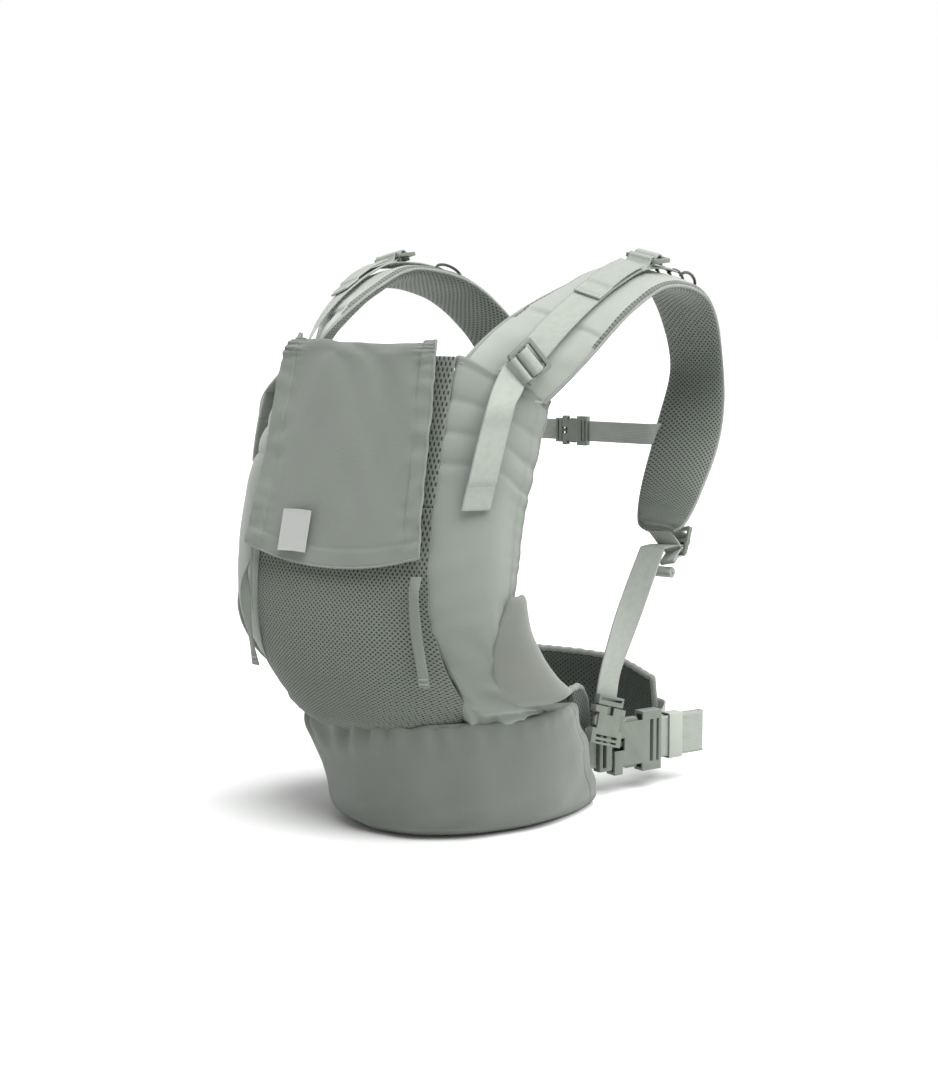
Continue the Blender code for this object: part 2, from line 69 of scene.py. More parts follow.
# ---- Studio: a pale floor under soft, even light, seen from the carrier's front left ----
camera_data = bpy.data.cameras.new("camera")
camera_data.lens = 71.4
camera = bpy.data.objects.new("camera", camera_data)
camera.location = (1.122, -1.6202, 0.500)
camera.rotation_euler = (math.radians(82.74), 0.0, math.radians(35.0))
bpy.context.scene.collection.objects.link(camera)
bpy.context.scene.camera = camera


def linear(code):
    """A colour written in sRGB hex, as linear red, green, blue and alpha."""
    values = [int(code[i : i + 2], 16) / 255 for i in (0, 2, 4)]
    return (*[v / 12.92 if v <= 0.04045 else ((v + 0.055) / 1.055) ** 2.4 for v in values], 1.0)


def node(tree, kind, settings=None, **links):
    """Adds a shader node with its settings, and links its inputs, named with _ for a space, or sets them."""
    made = tree.nodes.new(kind)
    for name, value in (settings or {}).items():
        setattr(made, name, value)
    for name, value in links.items():
        plain = name.rstrip("_0123456789")
        found = [s for s in made.inputs if s.name.replace(" ", "_") == plain and s.enabled]
        place = int(name[-1]) if name[-1].isdigit() else 0
        socket = found[min(place, len(found) - 1)]
        if isinstance(value, bpy.types.NodeSocket):
            tree.links.new(value, socket)
        else:
            socket.default_value = value
    return made


def result(made):
    """The output of a node that has one output in use."""
    return next(socket for socket in made.outputs if socket.enabled)


def finish(name, colour, roughness, **sockets):
    """A new material with its shader's own sockets set."""
    made = bpy.data.materials.new(name)
    made.use_nodes = True
    shader = made.node_tree.nodes["Principled BSDF"]
    shader.inputs["Base Color"].default_value = linear(colour)
    shader.inputs["Roughness"].default_value = roughness
    for socket, value in sockets.items():
        shader.inputs[socket.replace("_", " ")].default_value = value
    return made, made.node_tree, shader


FLOOR_SIZE = 12.0
floor_mesh = bpy.data.meshes.new("studio_floor")
bm = bmesh.new()
bmesh.ops.create_grid(bm, x_segments=1, y_segments=1, size=FLOOR_SIZE)
bmesh.ops.translate(bm, verts=bm.verts, vec=(0, 0, cad_box[0][2] - 0.5 * MM))
bm.to_mesh(floor_mesh)
bm.free()
floor = bpy.data.objects.new("studio_floor", floor_mesh)
bpy.context.scene.collection.objects.link(floor)
floor_mesh.materials.append(finish("matt white paint", "E2E3E2", 0.95)[0])

# The room is white behind the carrier and dimmer behind the viewer, so that its front is softly shaded
ROOM_DIM, ROOM_BRIGHT = 0.42, 1.0
BACKDROP_WAY = (-0.57, 0.82, 0.0)
world = bpy.data.worlds.new("studio")
world.use_nodes = True
room = world.node_tree
way = node(room, "ShaderNodeTexCoord").outputs["Generated"]
settings = {"operation": "DOT_PRODUCT"}
facing_back = node(room, "ShaderNodeVectorMath", settings, Vector_0=way, Vector_1=BACKDROP_WAY)
shade = node(room, "ShaderNodeMapRange", {}, Value=facing_back.outputs["Value"], From_Min=-0.1, From_Max=0.75)
shade.inputs["To Min"].default_value = ROOM_DIM
shade.inputs["To Max"].default_value = ROOM_BRIGHT
room.links.new(shade.outputs["Result"], room.nodes["Background"].inputs["Color"])
bpy.context.scene.world = world
bpy.context.scene.view_settings.view_transform = "Standard"

# A wide soft lamp high on the right lights the tops of the pads and the floor evenly
lamp_data = bpy.data.lights.new("overhead", "SUN")
lamp_data.energy = 5.6
lamp_data.angle = math.radians(60)
lamp = bpy.data.objects.new("overhead", lamp_data)
LAMP_FROM = Vector((0.5, -0.12, 1.0))
lamp.rotation_euler = LAMP_FROM.to_track_quat("Z", "Y").to_euler()
bpy.context.scene.collection.objects.link(lamp)

# ---- Hood tapes: flat cotton tapes of the hood's drawstrings ----
# Each is cut from one length of folded and stitched tape, and hangs out of the lower end of its tunnel.
panel_low, panel_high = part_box("seat_mesh_panel")
chest_low, chest_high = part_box("chest_webbing_left")
MIDDLE_X = (panel_low[0] + panel_high[0]) / 2
CHEST_BEHIND_HEM = 334 * MM
HEM_FRONT_Y = (chest_low[1] + chest_high[1]) / 2 - CHEST_BEHIND_HEM
SIDES = {"left": 1, "right": -1}


def mm(x, y, z):
    """A point given in millimetres from the front of the waist hem, as the pattern is drawn."""
    return Vector((x * MM + MIDDLE_X, y * MM + HEM_FRONT_Y, z * MM))


def smooth(points, share):
    """The point at a share of a smooth curve through the points, which may have any size."""
    place = min(max(share, 0.0), 1.0) * (len(points) - 1)
    k = min(int(place), len(points) - 2)
    t = place - k
    vectors = [Vector(p) for p in points[max(k - 1, 0) : k + 3]]
    if k == 0:
        vectors.insert(0, vectors[0] * 2 - vectors[1])
    if k == len(points) - 2:
        vectors.append(vectors[-1] * 2 - vectors[-2])
    a, b, c, d = vectors
    return 0.5 * (2 * b + (c - a) * t + (2 * a - 5 * b + 4 * c - d) * t**2 + (3 * b - 3 * c + d - a) * t**3)


def add_piece(name, bm, materials, body="carrier"):
    """Turns a finished bmesh into an object at the origin that rides on a body."""
    mesh = bpy.data.meshes.new(name)
    bm.to_mesh(mesh)
    bm.free()
    for one in materials:
        mesh.materials.append(one)
    mesh.shade_smooth()
    mesh.set_sharp_from_angle(angle=math.radians(50))
    made = bpy.data.objects.new(name, mesh)
    bpy.context.scene.collection.objects.link(made)
    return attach(made, body)


def cloth_grid(place, columns, rows, size, relief=None, chart=None):
    """A sheet of cloth: place(u, v) puts each point of a grid, relief(u, v) then raises it along its normal.

    The map "cloth" holds metres across and along the cloth, from its size or from chart(u, v)."""
    chart = chart or (lambda u, v: (u * size[0], v * size[1]))
    bm = bmesh.new()
    weave = bm.loops.layers.uv.new("cloth")
    bmesh.ops.create_grid(bm, x_segments=columns, y_segments=rows, size=0.5, calc_uvs=True)
    for face in bm.faces:
        for loop in face.loops:
            loop[weave].uv = chart(loop.vert.co.x + 0.5, loop.vert.co.y + 0.5)
    shares = [(vert.co.x + 0.5, vert.co.y + 0.5) for vert in bm.verts]
    for vert, (u, v) in zip(bm.verts, shares):
        vert.co = place(u, v)
    bm.normal_update()
    if relief:
        normals = [vert.normal.copy() for vert in bm.verts]
        for vert, normal, (u, v) in zip(bm.verts, normals, shares):
            vert.co += normal * relief(u, v)
        bm.normal_update()
    return bm


def add_wall(piece, thickness, offset=-1.0):
    """Gives a sheet its thickness."""
    wall = piece.modifiers.new("thickness", "SOLIDIFY")
    wall.thickness = thickness
    wall.offset = offset
    return piece


def flat_size(place, steps=24):
    """The width and length that a cloth surface is cut to: the mean lengths of its lines across and along."""
    width = length = 0.0
    for i in range(steps):
        for k in range(steps + 1):
            width += (place((i + 1) / steps, k / steps) - place(i / steps, k / steps)).length
            length += (place(k / steps, (i + 1) / steps) - place(k / steps, i / steps)).length
    return width / (steps + 1), length / (steps + 1)


def woven(name, colour, roughness=0.85, thread=0.9 * MM, depth=0.25, sheen=0.25, weave_shade_and_tone=0.10, warp="cloth"):
    """Woven cloth: threads over and under each other, their tops painted lighter and the dips between them
    darker as painted shade, slightly uneven in colour at random, with a soft sheen.

    The threads of the real cloth are finer than a render shows, so they are drawn at the given spacing."""
    made, tree, shader = finish(name, colour, roughness)
    shader.inputs["Sheen Weight"].default_value = sheen
    shader.inputs["Sheen Roughness"].default_value = 0.5
    shader.inputs["Specular IOR Level"].default_value = 0.25
    place = node(tree, "ShaderNodeUVMap", {"uv_map": warp}).outputs["UV"]
    turned = node(tree, "ShaderNodeMapping", Vector=place, Rotation=(0, 0, math.radians(45)))
    settings = {"wave_type": "BANDS", "bands_direction": "X"}
    # A wave's period is a twentieth of its scale's inverse, times two pi
    scale = 2 * math.pi / 20 / thread
    over = node(tree, "ShaderNodeTexWave", settings, Vector=turned.outputs[0], Scale=scale, Distortion=0.6)
    settings = {"wave_type": "BANDS", "bands_direction": "Y"}
    under = node(tree, "ShaderNodeTexWave", settings, Vector=turned.outputs[0], Scale=scale, Distortion=0.6)
    weave = node(tree, "ShaderNodeMath", {"operation": "MULTIPLY"}, Value=over.outputs["Fac"])
    tree.links.new(under.outputs["Fac"], weave.inputs[1])
    slubs = node(tree, "ShaderNodeTexNoise", Vector=place, Scale=0.35 / MM, Detail=3.0)
    patches = node(tree, "ShaderNodeTexNoise", Vector=place, Scale=0.02 / MM, Detail=2.0)
    # Painted shade: the colour is lighter on the threads' tops and darker in the dips between them, and large
    # noise patches vary its tone at random.
    dark = [c * (1 - weave_shade_and_tone) for c in linear(colour)[:3]] + [1.0]
    light = [min(1.0, c * (1 + weave_shade_and_tone)) for c in linear(colour)[:3]] + [1.0]
    shade = node(tree, "ShaderNodeMath", {"operation": "MULTIPLY_ADD"}, Value=weave.outputs[0])
    shade.inputs[1].default_value = 0.45
    tree.links.new(patches.outputs["Fac"], shade.inputs[2])
    mixed = node(tree, "ShaderNodeMix", {"data_type": "RGBA"}, Factor=shade.outputs[0], A=dark, B=light)
    tree.links.new(result(mixed), shader.inputs["Base Color"])
    raised = node(tree, "ShaderNodeMath", {"operation": "ADD"}, Value=weave.outputs[0])
    tree.links.new(slubs.outputs["Fac"], raised.inputs[1])
    strength = min(1.0, 2.5 * depth)
    bump = node(tree, "ShaderNodeBump", Height=raised.outputs[0], Strength=strength, Distance=0.3 * MM)
    tree.links.new(bump.outputs["Normal"], shader.inputs["Normal"])
    return made


TAPE_ROUTE = [(91, -61, 243), (92, -66, 228), (92.5, -64, 200), (93, -58, 172), (93, -52, 148)]
TAPE_WIDTH = 9 * MM
TAPE_THICK = 1.2 * MM
TAPE_STEPS = 60
# How far each tape is turned about its own length on the way down, in degrees
TAPE_TURN = {"left": (20, -15, -5, 10, 0), "right": (-20, -60, -150, -190, -170)}
tape_cloth = woven("folded cotton tape", "6C726B", 0.9, 0.8 * MM, 0.35)
thread = finish("polyester sewing thread", "8E958D", 0.6)[0]


def stitch_row(bm, points, normals, pitch=2.6 * MM, length=1.8 * MM, thick=0.4 * MM, slot=0):
    """A row of sewing stitches along a line of points, each a small plump capsule half sunk in the cloth."""
    covered = 0.0
    for k in range(len(points) - 1):
        run = points[k + 1] - points[k]
        if run.length < 1e-7:
            continue
        while covered < run.length:
            here = points[k] + run * (covered / run.length)
            along = run.normalized()
            out = normals[k]
            side = out.cross(along).normalized()
            out = along.cross(side)
            turn = Matrix((along, side, out)).transposed().to_4x4()
            shape = Matrix.Diagonal((length / 2, thick / 2, thick / 2, 1.0))
            made = bmesh.ops.create_uvsphere(
                bm, u_segments=6, v_segments=4, radius=1.0, matrix=Matrix.Translation(here) @ turn @ shape
            )
            for vert in made["verts"]:
                for face in vert.link_faces:
                    face.material_index = slot
            covered += pitch
        covered -= run.length


for label, side in SIDES.items():
    route = [mm(x * side, y, z) for x, y, z in TAPE_ROUTE]
    turns = TAPE_TURN[label]
    line = [smooth(route, i / TAPE_STEPS) for i in range(TAPE_STEPS + 1)]
    length = sum((b - a).length for a, b in zip(line, line[1:]))

    def tape_place(u, v):
        here = smooth(route, v)
        angle = math.radians(smooth([(t, 0) for t in turns], v)[0] + 20 * side)
        across = Vector((math.cos(angle), math.sin(angle), 0))
        curl = math.sin(math.pi * u) * 0.6 * MM
        return here + across * (u - 0.5) * TAPE_WIDTH + Vector((0, -curl, 0))

    bm = cloth_grid(tape_place, 6, TAPE_STEPS, (TAPE_WIDTH, length))
    tape = add_wall(add_piece(f"drawstring_tape_{label}", bm, [tape_cloth]), TAPE_THICK, 0.0)
    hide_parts(f"hood_tape_{label}")
    bm = bmesh.new()
    for v in (0.965, 0.92):
        points = [tape_place(u, v) + Vector((0, -0.7 * MM, 0)) for u in (0.1, 0.3, 0.5, 0.7, 0.9)]
        stitch_row(bm, points, [Vector((0, -1, 0))] * 5, 0.7 * MM, 0.9 * MM, 1.4 * MM)
    tacks = add_piece(f"tape_bar_tacks_{label}", bm, [thread])
    tuple(route[0])
    [tuple(p) for p in line]

# ---- Mesh seat: spacer fabric, two knitted faces held apart by fine yarns ----
# It is cut as one panel, darted at the lower corners so that it bulges into a seat, and sewn to the belt
# and the side panels. Its holes lie on a diagonal grid about 5 mm apart.
SEAT_STATIONS = [
    (98, -36, 22, 94),
    (112, -52, 12, 98),
    (135, -64, -14, 102),
    (165, -69, -36, 101),
    (205, -68, -48, 98),
    (250, -58, -50, 95),
    (335, -35, -32, 94),
    (424, -12, -7, 92),
]
SEAT_FULLNESS = 2.6
SEAT_SIZE = (225 * MM, 330 * MM)
HOLE_PITCH = (5.2 * MM, 5.0 * MM)
HOLE_REACH = (1.25 * MM, 1.05 * MM)


@lru_cache(maxsize=4000)
def seat_station(v):
    return tuple(smooth(SEAT_STATIONS, v))


def seat_place(u, v, out=0.0):
    """A point of the seat's front, from its left edge as seen from the front to its right one."""
    height, middle, edge, half = seat_station(round(v, 5))
    x = 2 * u - 1
    return mm(half * x, middle + (edge - middle) * abs(x) ** SEAT_FULLNESS - out, height)


def hole_depth(across, along):
    """How deep the nearest hole of the spacer mesh is at a place: 1 at its middle, 0 on the ribs between."""
    row = along / (HOLE_PITCH[1] / 2)
    deepest = 0.0
    for near in (math.floor(row), math.floor(row) + 1):
        shift = 0.5 * (near % 2)
        cell = across / HOLE_PITCH[0] - shift
        dx = (cell - round(cell)) * HOLE_PITCH[0]
        dy = (row - near) * HOLE_PITCH[1] / 2
        away = math.hypot(dx / HOLE_REACH[0], dy / HOLE_REACH[1])
        deepest = max(deepest, min(1.0, max(0.0, 1.35 - away) / 0.7))
    return deepest


def spacer_mesh(name, rib, hole):
    """Warp-knitted polyester spacer mesh: matt rounded ribs round open holes, which are painted near black as
    painted shade inside them.
    """
    made, tree, shader = finish(name, rib, 0.8)
    shader.inputs["Sheen Weight"].default_value = 0.15
    shader.inputs["Specular IOR Level"].default_value = 0.3
    place = node(tree, "ShaderNodeUVMap", {"uv_map": "cloth"}).outputs["UV"]
    shade = None
    for shift in (0.0, 0.5):
        shifted = (shift * HOLE_PITCH[0], shift * HOLE_PITCH[1], 0)
        moved = node(tree, "ShaderNodeVectorMath", {"operation": "ADD"}, Vector=place)
        moved.inputs[1].default_value = shifted
        cell = node(tree, "ShaderNodeVectorMath", {"operation": "WRAP"}, Vector=moved.outputs[0])
        cell.inputs[1].default_value = (HOLE_PITCH[0] / 2, HOLE_PITCH[1] / 2, 1)
        cell.inputs[2].default_value = (-HOLE_PITCH[0] / 2, -HOLE_PITCH[1] / 2, -1)
        flat = node(tree, "ShaderNodeVectorMath", {"operation": "MULTIPLY"}, Vector=cell.outputs[0])
        flat.inputs[1].default_value = (1 / HOLE_REACH[0], 1 / HOLE_REACH[1], 0)
        away = node(tree, "ShaderNodeVectorMath", {"operation": "LENGTH"}, Vector=flat.outputs[0])
        settings = {"interpolation_type": "SMOOTHSTEP"}
        dip = node(tree, "ShaderNodeMapRange", settings, Value=away.outputs["Value"])
        dip.inputs["From Min"].default_value = 0.55
        dip.inputs["From Max"].default_value = 1.25
        dip.inputs["To Min"].default_value = 1.0
        dip.inputs["To Max"].default_value = 0.0
        if shade is None:
            shade = dip.outputs["Result"]
        else:
            both = node(tree, "ShaderNodeMath", {"operation": "MAXIMUM"}, Value=shade)
            tree.links.new(dip.outputs["Result"], both.inputs[1])
            shade = both.outputs[0]
    # Painted shade: the holes are painted near black for the shade deep inside them, and the ribs keep the
    # mesh's own colour.
    mixed = node(tree, "ShaderNodeMix", {"data_type": "RGBA"}, Factor=shade, A=linear(rib), B=linear(hole))
    tree.links.new(result(mixed), shader.inputs["Base Color"])
    yarn = node(tree, "ShaderNodeTexNoise", Vector=place, Scale=1.2 / MM, Detail=2.0)
    height = node(tree, "ShaderNodeMath", {"operation": "MULTIPLY_ADD"}, Value=yarn.outputs["Fac"])
    height.inputs[1].default_value = 0.25
    raised = node(tree, "ShaderNodeMath", {"operation": "SUBTRACT"})
    raised.inputs[0].default_value = 1.0
    tree.links.new(shade, raised.inputs[1])
    tree.links.new(raised.outputs[0], height.inputs[2])
    bump = node(tree, "ShaderNodeBump", Height=height.outputs[0], Strength=0.8, Distance=0.7 * MM)
    tree.links.new(bump.outputs["Normal"], shader.inputs["Normal"])
    return made


seat_mesh = spacer_mesh("knitted spacer mesh", "666C64", "23271F")


def seat_relief(u, v):
    """Holes in the spacer mesh, shallower near the seams, and a soft unevenness."""
    across, along = u * SEAT_SIZE[0], v * SEAT_SIZE[1]
    soft = noise.noise(Vector((across * 28, along * 28, 0.3))) * 0.8 * MM
    seam = min(1.0, min(u, 1 - u) * SEAT_SIZE[0] / (4 * MM))
    return soft - hole_depth(across, along) * 0.7 * MM * seam


SEAT_BOTTOM_SHARE = 0.8  # the lower part is seen from near by, so its grid is finer
SEAT_THICK = 2.4 * MM
bm = cloth_grid(
    lambda u, v: seat_place(u, v * SEAT_BOTTOM_SHARE),
    190,
    150,
    (SEAT_SIZE[0], SEAT_SIZE[1] * SEAT_BOTTOM_SHARE),
    lambda u, v: seat_relief(u, v * SEAT_BOTTOM_SHARE),
)
seat = add_wall(add_piece("mesh_seat", bm, [seat_mesh]), SEAT_THICK)
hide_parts("seat_mesh_panel")
top_share = 1 - SEAT_BOTTOM_SHARE
bm = cloth_grid(
    lambda u, v: seat_place(u, SEAT_BOTTOM_SHARE + v * top_share),
    60,
    40,
    (SEAT_SIZE[0], SEAT_SIZE[1] * top_share),
)
seat_top = add_wall(add_piece("mesh_back", bm, [seat_mesh]), SEAT_THICK)

# A slim cotton strip, plump along its middle, covers the seat's seam on the right
STRIP_SHARE = 0.045
STRIP_LOW, STRIP_TALL = 0.06, 0.9
STRIP_OUT = 0.9
STRIP_SIZE = (9 * MM, 290 * MM)
strip_cloth = woven("folded cotton strip", "7A8079", 0.85, 0.9 * MM, 0.3)
bm = cloth_grid(
    lambda u, v: seat_place(STRIP_SHARE * u, STRIP_LOW + STRIP_TALL * v, STRIP_OUT),
    8,
    120,
    STRIP_SIZE,
    lambda u, v: math.sin(math.pi * u) * 0.7 * MM,
)
strip = add_wall(add_piece("seat_strip_right", bm, [strip_cloth]), 1.2 * MM)

# ---- Hood: a double layer of plain woven cotton, rolled over the top of the seat ----
# Its sides are turned over into tunnels for the drawstring tapes, and its lower hem is folded and stitched.
HOOD_STATIONS = [
    (259, -67, -62, 94),
    (305, -55, -51, 90),
    (360, -41, -37, 86),
    (415, -27, -23, 82),
    (430, -21, -18, 80),
    (435, -14, -10, 75),
    (427, -8, -7, 68),
]
HOOD_DIP = 14
HOOD_SIZE = (182 * MM, 215 * MM)
HEM_WIDE = 11 * MM
TUNNEL_WIDE = 15 * MM
hood_cloth = woven("plain woven cotton, sage", "6E746D", 0.85, 0.9 * MM, 0.3)


@lru_cache(maxsize=4000)
def hood_station(v):
    return tuple(smooth(HOOD_STATIONS, v))


def hood_place(u, v):
    height, middle, edge, half = hood_station(round(v, 5))
    x = 2 * u - 1
    dip = HOOD_DIP * (1 - v) ** 2 * (1 - x * x)
    return mm(half * x, middle + (edge - middle) * abs(x) ** SEAT_FULLNESS, height - dip)


def step_up(value, edge, soft):
    """0 below the edge and 1 above it, with a soft change between."""
    t = min(1.0, max(0.0, (value - edge) / soft + 0.5))
    return t * t * (3 - 2 * t)


def crease(across, along, turn, spacing, seed, stretch=0.25):
    """Soft creases in cloth, long along a direction turned by the angle, in degrees."""
    c, s = math.cos(math.radians(turn)), math.sin(math.radians(turn))
    a, b = across * c + along * s, along * c - across * s
    return noise.noise(Vector((a * stretch / spacing, b / spacing, seed)))


def hood_relief(u, v):
    across, along = u * HOOD_SIZE[0], v * HOOD_SIZE[1]
    edge = min(across, HOOD_SIZE[0] - across)
    tunnel = 1 - step_up(edge, TUNNEL_WIDE, 2.2 * MM)
    hem = 1 - step_up(along, HEM_WIDE, 1.6 * MM)
    raised = 1.1 * MM * tunnel + 0.9 * MM * hem * (1 - 0.5 * tunnel)
    puckers = noise.noise(Vector((across * 40, along * 130, 4.0))) * 2.4 * MM
    puckers *= 1 - step_up(edge, 20 * MM, 20 * MM)
    seam = math.exp(-(((edge - TUNNEL_WIDE) / (1.2 * MM)) ** 2)) * -0.8 * MM
    seam += math.exp(-(((along - HEM_WIDE) / (1.0 * MM)) ** 2)) * -0.6 * MM
    folds = crease(across, along, 62, 34 * MM, 1.0) * 3.2 * MM
    folds += crease(across, along, -48, 22 * MM, 7.0) * 1.6 * MM
    calm = min(1.0, v * 6)
    near_side = max(0.0, 1 - (HOOD_SIZE[0] - across) / (46 * MM))
    pull = math.sin((along - across * 0.35) / (11 * MM)) * 1.5 * MM * near_side * (1 - tunnel) * calm
    return raised + puckers + seam + folds * calm + pull


bm = cloth_grid(hood_place, 130, 150, HOOD_SIZE, hood_relief)
hood = add_wall(add_piece("hood", bm, [hood_cloth]), 1.8 * MM)
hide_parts("hood_flap")
flat_size(hood_place)


def surface_line(place, relief, pairs, lift=0.2 * MM):
    """Points and normals of a line on a cloth surface, through shares of its width and height."""
    points, normals = [], []
    step = 0.004
    for u, v in pairs:
        across = place(min(u + step, 1.0), v) - place(max(u - step, 0.0), v)
        along = place(u, min(v + step, 1.0)) - place(u, max(v - step, 0.0))
        out = across.cross(along).normalized()
        points.append(place(u, v) + out * (relief(u, v) + lift))
        normals.append(out)
    return points, normals


def shares_between(start, end, count):
    return [tuple(a + (b - a) * k / count for a, b in zip(start, end)) for k in range(count + 1)]


bm = bmesh.new()
hem_share = HEM_WIDE / HOOD_SIZE[1]
tunnel_share = TUNNEL_WIDE / HOOD_SIZE[0]
SEWING = [((0.0, hem_share), (1.0, hem_share))]
SEWING += [((u, 0.0), (u, 0.93)) for u in (tunnel_share, 1 - tunnel_share)]
for start, end in SEWING:
    stitch_row(bm, *surface_line(hood_place, hood_relief, shares_between(start, end, 60)))
hood_sewing = add_piece("hood_stitching", bm, [thread])


def piping(name, points, radius, material, body="carrier"):
    """A folded edge: a soft round cord of cloth along a line of points."""
    curve = bpy.data.curves.new(name, "CURVE")
    curve.dimensions = "3D"
    curve.bevel_depth = radius
    curve.bevel_resolution = 3
    curve.use_fill_caps = True
    spline = curve.splines.new("POLY")
    spline.points.add(len(points) - 1)
    for point, place in zip(spline.points, points):
        point.co = (*place, 1)
    made = bpy.data.objects.new(name, curve)
    bpy.context.scene.collection.objects.link(made)
    mesh = bpy.data.meshes.new_from_object(made)
    bpy.data.objects.remove(made)
    bm = bmesh.new()
    bm.from_mesh(mesh)
    bmesh.ops.remove_doubles(bm, verts=bm.verts, dist=1e-6)
    bmesh.ops.recalc_face_normals(bm, faces=bm.faces)
    return add_piece(name, bm, [material], body)


plain_cloth = woven("turned cotton edge", "7A8079", 0.85, 0.9 * MM, 0.3, warp="UVMap")
for name, pairs in (
    ("hood_hem_edge", shares_between((0.0, 0.0), (1.0, 0.0), 60)),
    ("hood_edge_left", shares_between((1.0, 0.0), (1.0, 1.0), 60)),
    ("hood_edge_right", shares_between((0.0, 0.0), (0.0, 1.0), 60)),
):
    points, normals = surface_line(hood_place, hood_relief, pairs, -0.9 * MM)
    made = piping(name, points, 1.25 * MM, plain_cloth)

# ---- Label: a patch of silvery satin ribbon, folded in at its edges and sewn to the hood's hem corner ----
LABEL_LOW, LABEL_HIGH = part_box("woven_label")
label_satin, label_tree, label_shader = finish("woven satin ribbon, silver", "9A9C99", 0.45, Sheen_Weight=0.3)
label_place = node(label_tree, "ShaderNodeUVMap", {"uv_map": "cloth"}).outputs["UV"]
ribs = node(label_tree, "ShaderNodeTexWave", {"bands_direction": "Y"}, Vector=label_place, Scale=0.5 / MM)
bump = node(label_tree, "ShaderNodeBump", Height=ribs.outputs["Fac"], Strength=0.3, Distance=0.2 * MM)
label_tree.links.new(bump.outputs["Normal"], label_shader.inputs["Normal"])


def label_surface(u, v):
    """The label lies on the hood's cloth, over the place of its solid."""
    x = LABEL_LOW[0] + (LABEL_HIGH[0] - LABEL_LOW[0]) * u
    z = LABEL_LOW[2] + (LABEL_HIGH[2] - LABEL_LOW[2]) * v
    y = LABEL_LOW[1] + (LABEL_HIGH[1] - LABEL_LOW[1]) * (0.05 + 0.9 * v)
    return Vector((x, y - 1.2 * MM, z + 0.6 * MM * math.sin(3 * u)))


def label_relief(u, v):
    """The label is blank: only its folded edges stand up, as a plain raised border."""
    return 0.25 * MM * (1 - step_up(min(u, 1 - u, v * 1.15, (1 - v) * 1.15), 0.05, 0.03))


label_size = (LABEL_HIGH[0] - LABEL_LOW[0], LABEL_HIGH[2] - LABEL_LOW[2])
bm = cloth_grid(label_surface, 60, 70, label_size, label_relief)
label = add_wall(add_piece("label", bm, [label_satin]), 1.2 * MM)
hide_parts("woven_label")

# ---- Side panels: the same sage cotton, smooth and stretched round the child's sides ----
# Their front edges are sewn behind the seat's, three quilted rows stiffen the yoke at the top, and the back
# edge is bound and gathered a little towards the leg.
SIDE_FRONT = [(98, 14, 96), (106, -14, 140), (103, -42, 190), (99, -48, 250), (97, -30, 335), (94, 2, 424)]
SIDE_MIDDLE = [(113, 50, 98), (128, 12, 134), (138, -20, 184), (139, -22, 250), (130, -2, 330)]
SIDE_MIDDLE += [(117, 32, 404)]
SIDE_BACK = [(120, 98, 104), (129, 44, 130), (136, 6, 178), (141, 14, 240), (139, 34, 305), (135, 74, 384)]
SIDE_TUCK = [(86, 20, 104), (84, -10, 146), (86, -38, 190), (88, -42, 250), (86, -24, 335), (84, 4, 418)]
SIDE_SIZE = (110 * MM, 320 * MM)
QUILT_ROWS = (0.80, 0.86, 0.92, 0.985)
side_cloth = woven("smooth woven cotton, light sage", "747A73", 0.8, 0.8 * MM, 0.2, 0.35, 0.07)


@lru_cache(maxsize=4000)
def side_curves(v):
    return [tuple(smooth(curve, v)) for curve in (SIDE_TUCK, SIDE_FRONT, SIDE_MIDDLE, SIDE_BACK)]


def side_relief(u, v):
    across, along = u * SIDE_SIZE[0], v * SIDE_SIZE[1]
    yoke = step_up(v, 0.78, 0.05)
    quilt = sum(math.exp(-((((v - row) * SIDE_SIZE[1]) / (1.8 * MM)) ** 2)) for row in QUILT_ROWS)
    puff = 0.5 - 0.5 * math.cos(2 * math.pi * (v - QUILT_ROWS[0]) / 0.06)
    shape = yoke * (1.1 * MM * puff - 1.3 * MM * quilt)
    back = 1 - u
    hem = 1 - step_up(back * SIDE_SIZE[0], 9 * MM, 1.6 * MM)
    seam = -0.7 * MM * math.exp(-(((back * SIDE_SIZE[0] - 9 * MM) / (1.0 * MM)) ** 2))
    pucker = math.sin(along / (2.2 * MM) + 2 * noise.noise(Vector((along * 60, 0, 3)))) * 0.35 * MM
    pucker *= math.exp(-back * SIDE_SIZE[0] / (12 * MM))
    # Soft radiating pulls from the leg opening towards the seat's lower corner
    turn = math.atan2(v - 0.02, back + 0.25)
    low = max(0.0, 1 - v / 0.55)
    pulls = math.sin(turn * 38 + 3.5 * noise.noise(Vector((u * 3, v * 5, 9)))) * 3.4 * MM * low**1.1
    pulls *= 0.45 + 0.55 * noise.noise(Vector((u * 4, v * 9, 2.5)))
    drape = crease(across, along, 72, 38 * MM, 2.0) * 4.2 * MM * (1 - 0.7 * yoke)
    drape += crease(across, along, 20, 16 * MM, 12.0) * 1.2 * MM * (1 - yoke)
    gather = max(0.0, 1 - v / 0.14) * math.sin(across / (2.6 * MM) + 2 * noise.noise(Vector((u * 9, 0, 1))))
    gather *= 1.5 * MM
    # The folds die away at the lower edge, which is sewn in behind the belt
    calm = min(1.0, 0.15 + v / 0.07)
    return shape + 0.8 * MM * hem + seam + (pucker + pulls + drape + gather) * calm


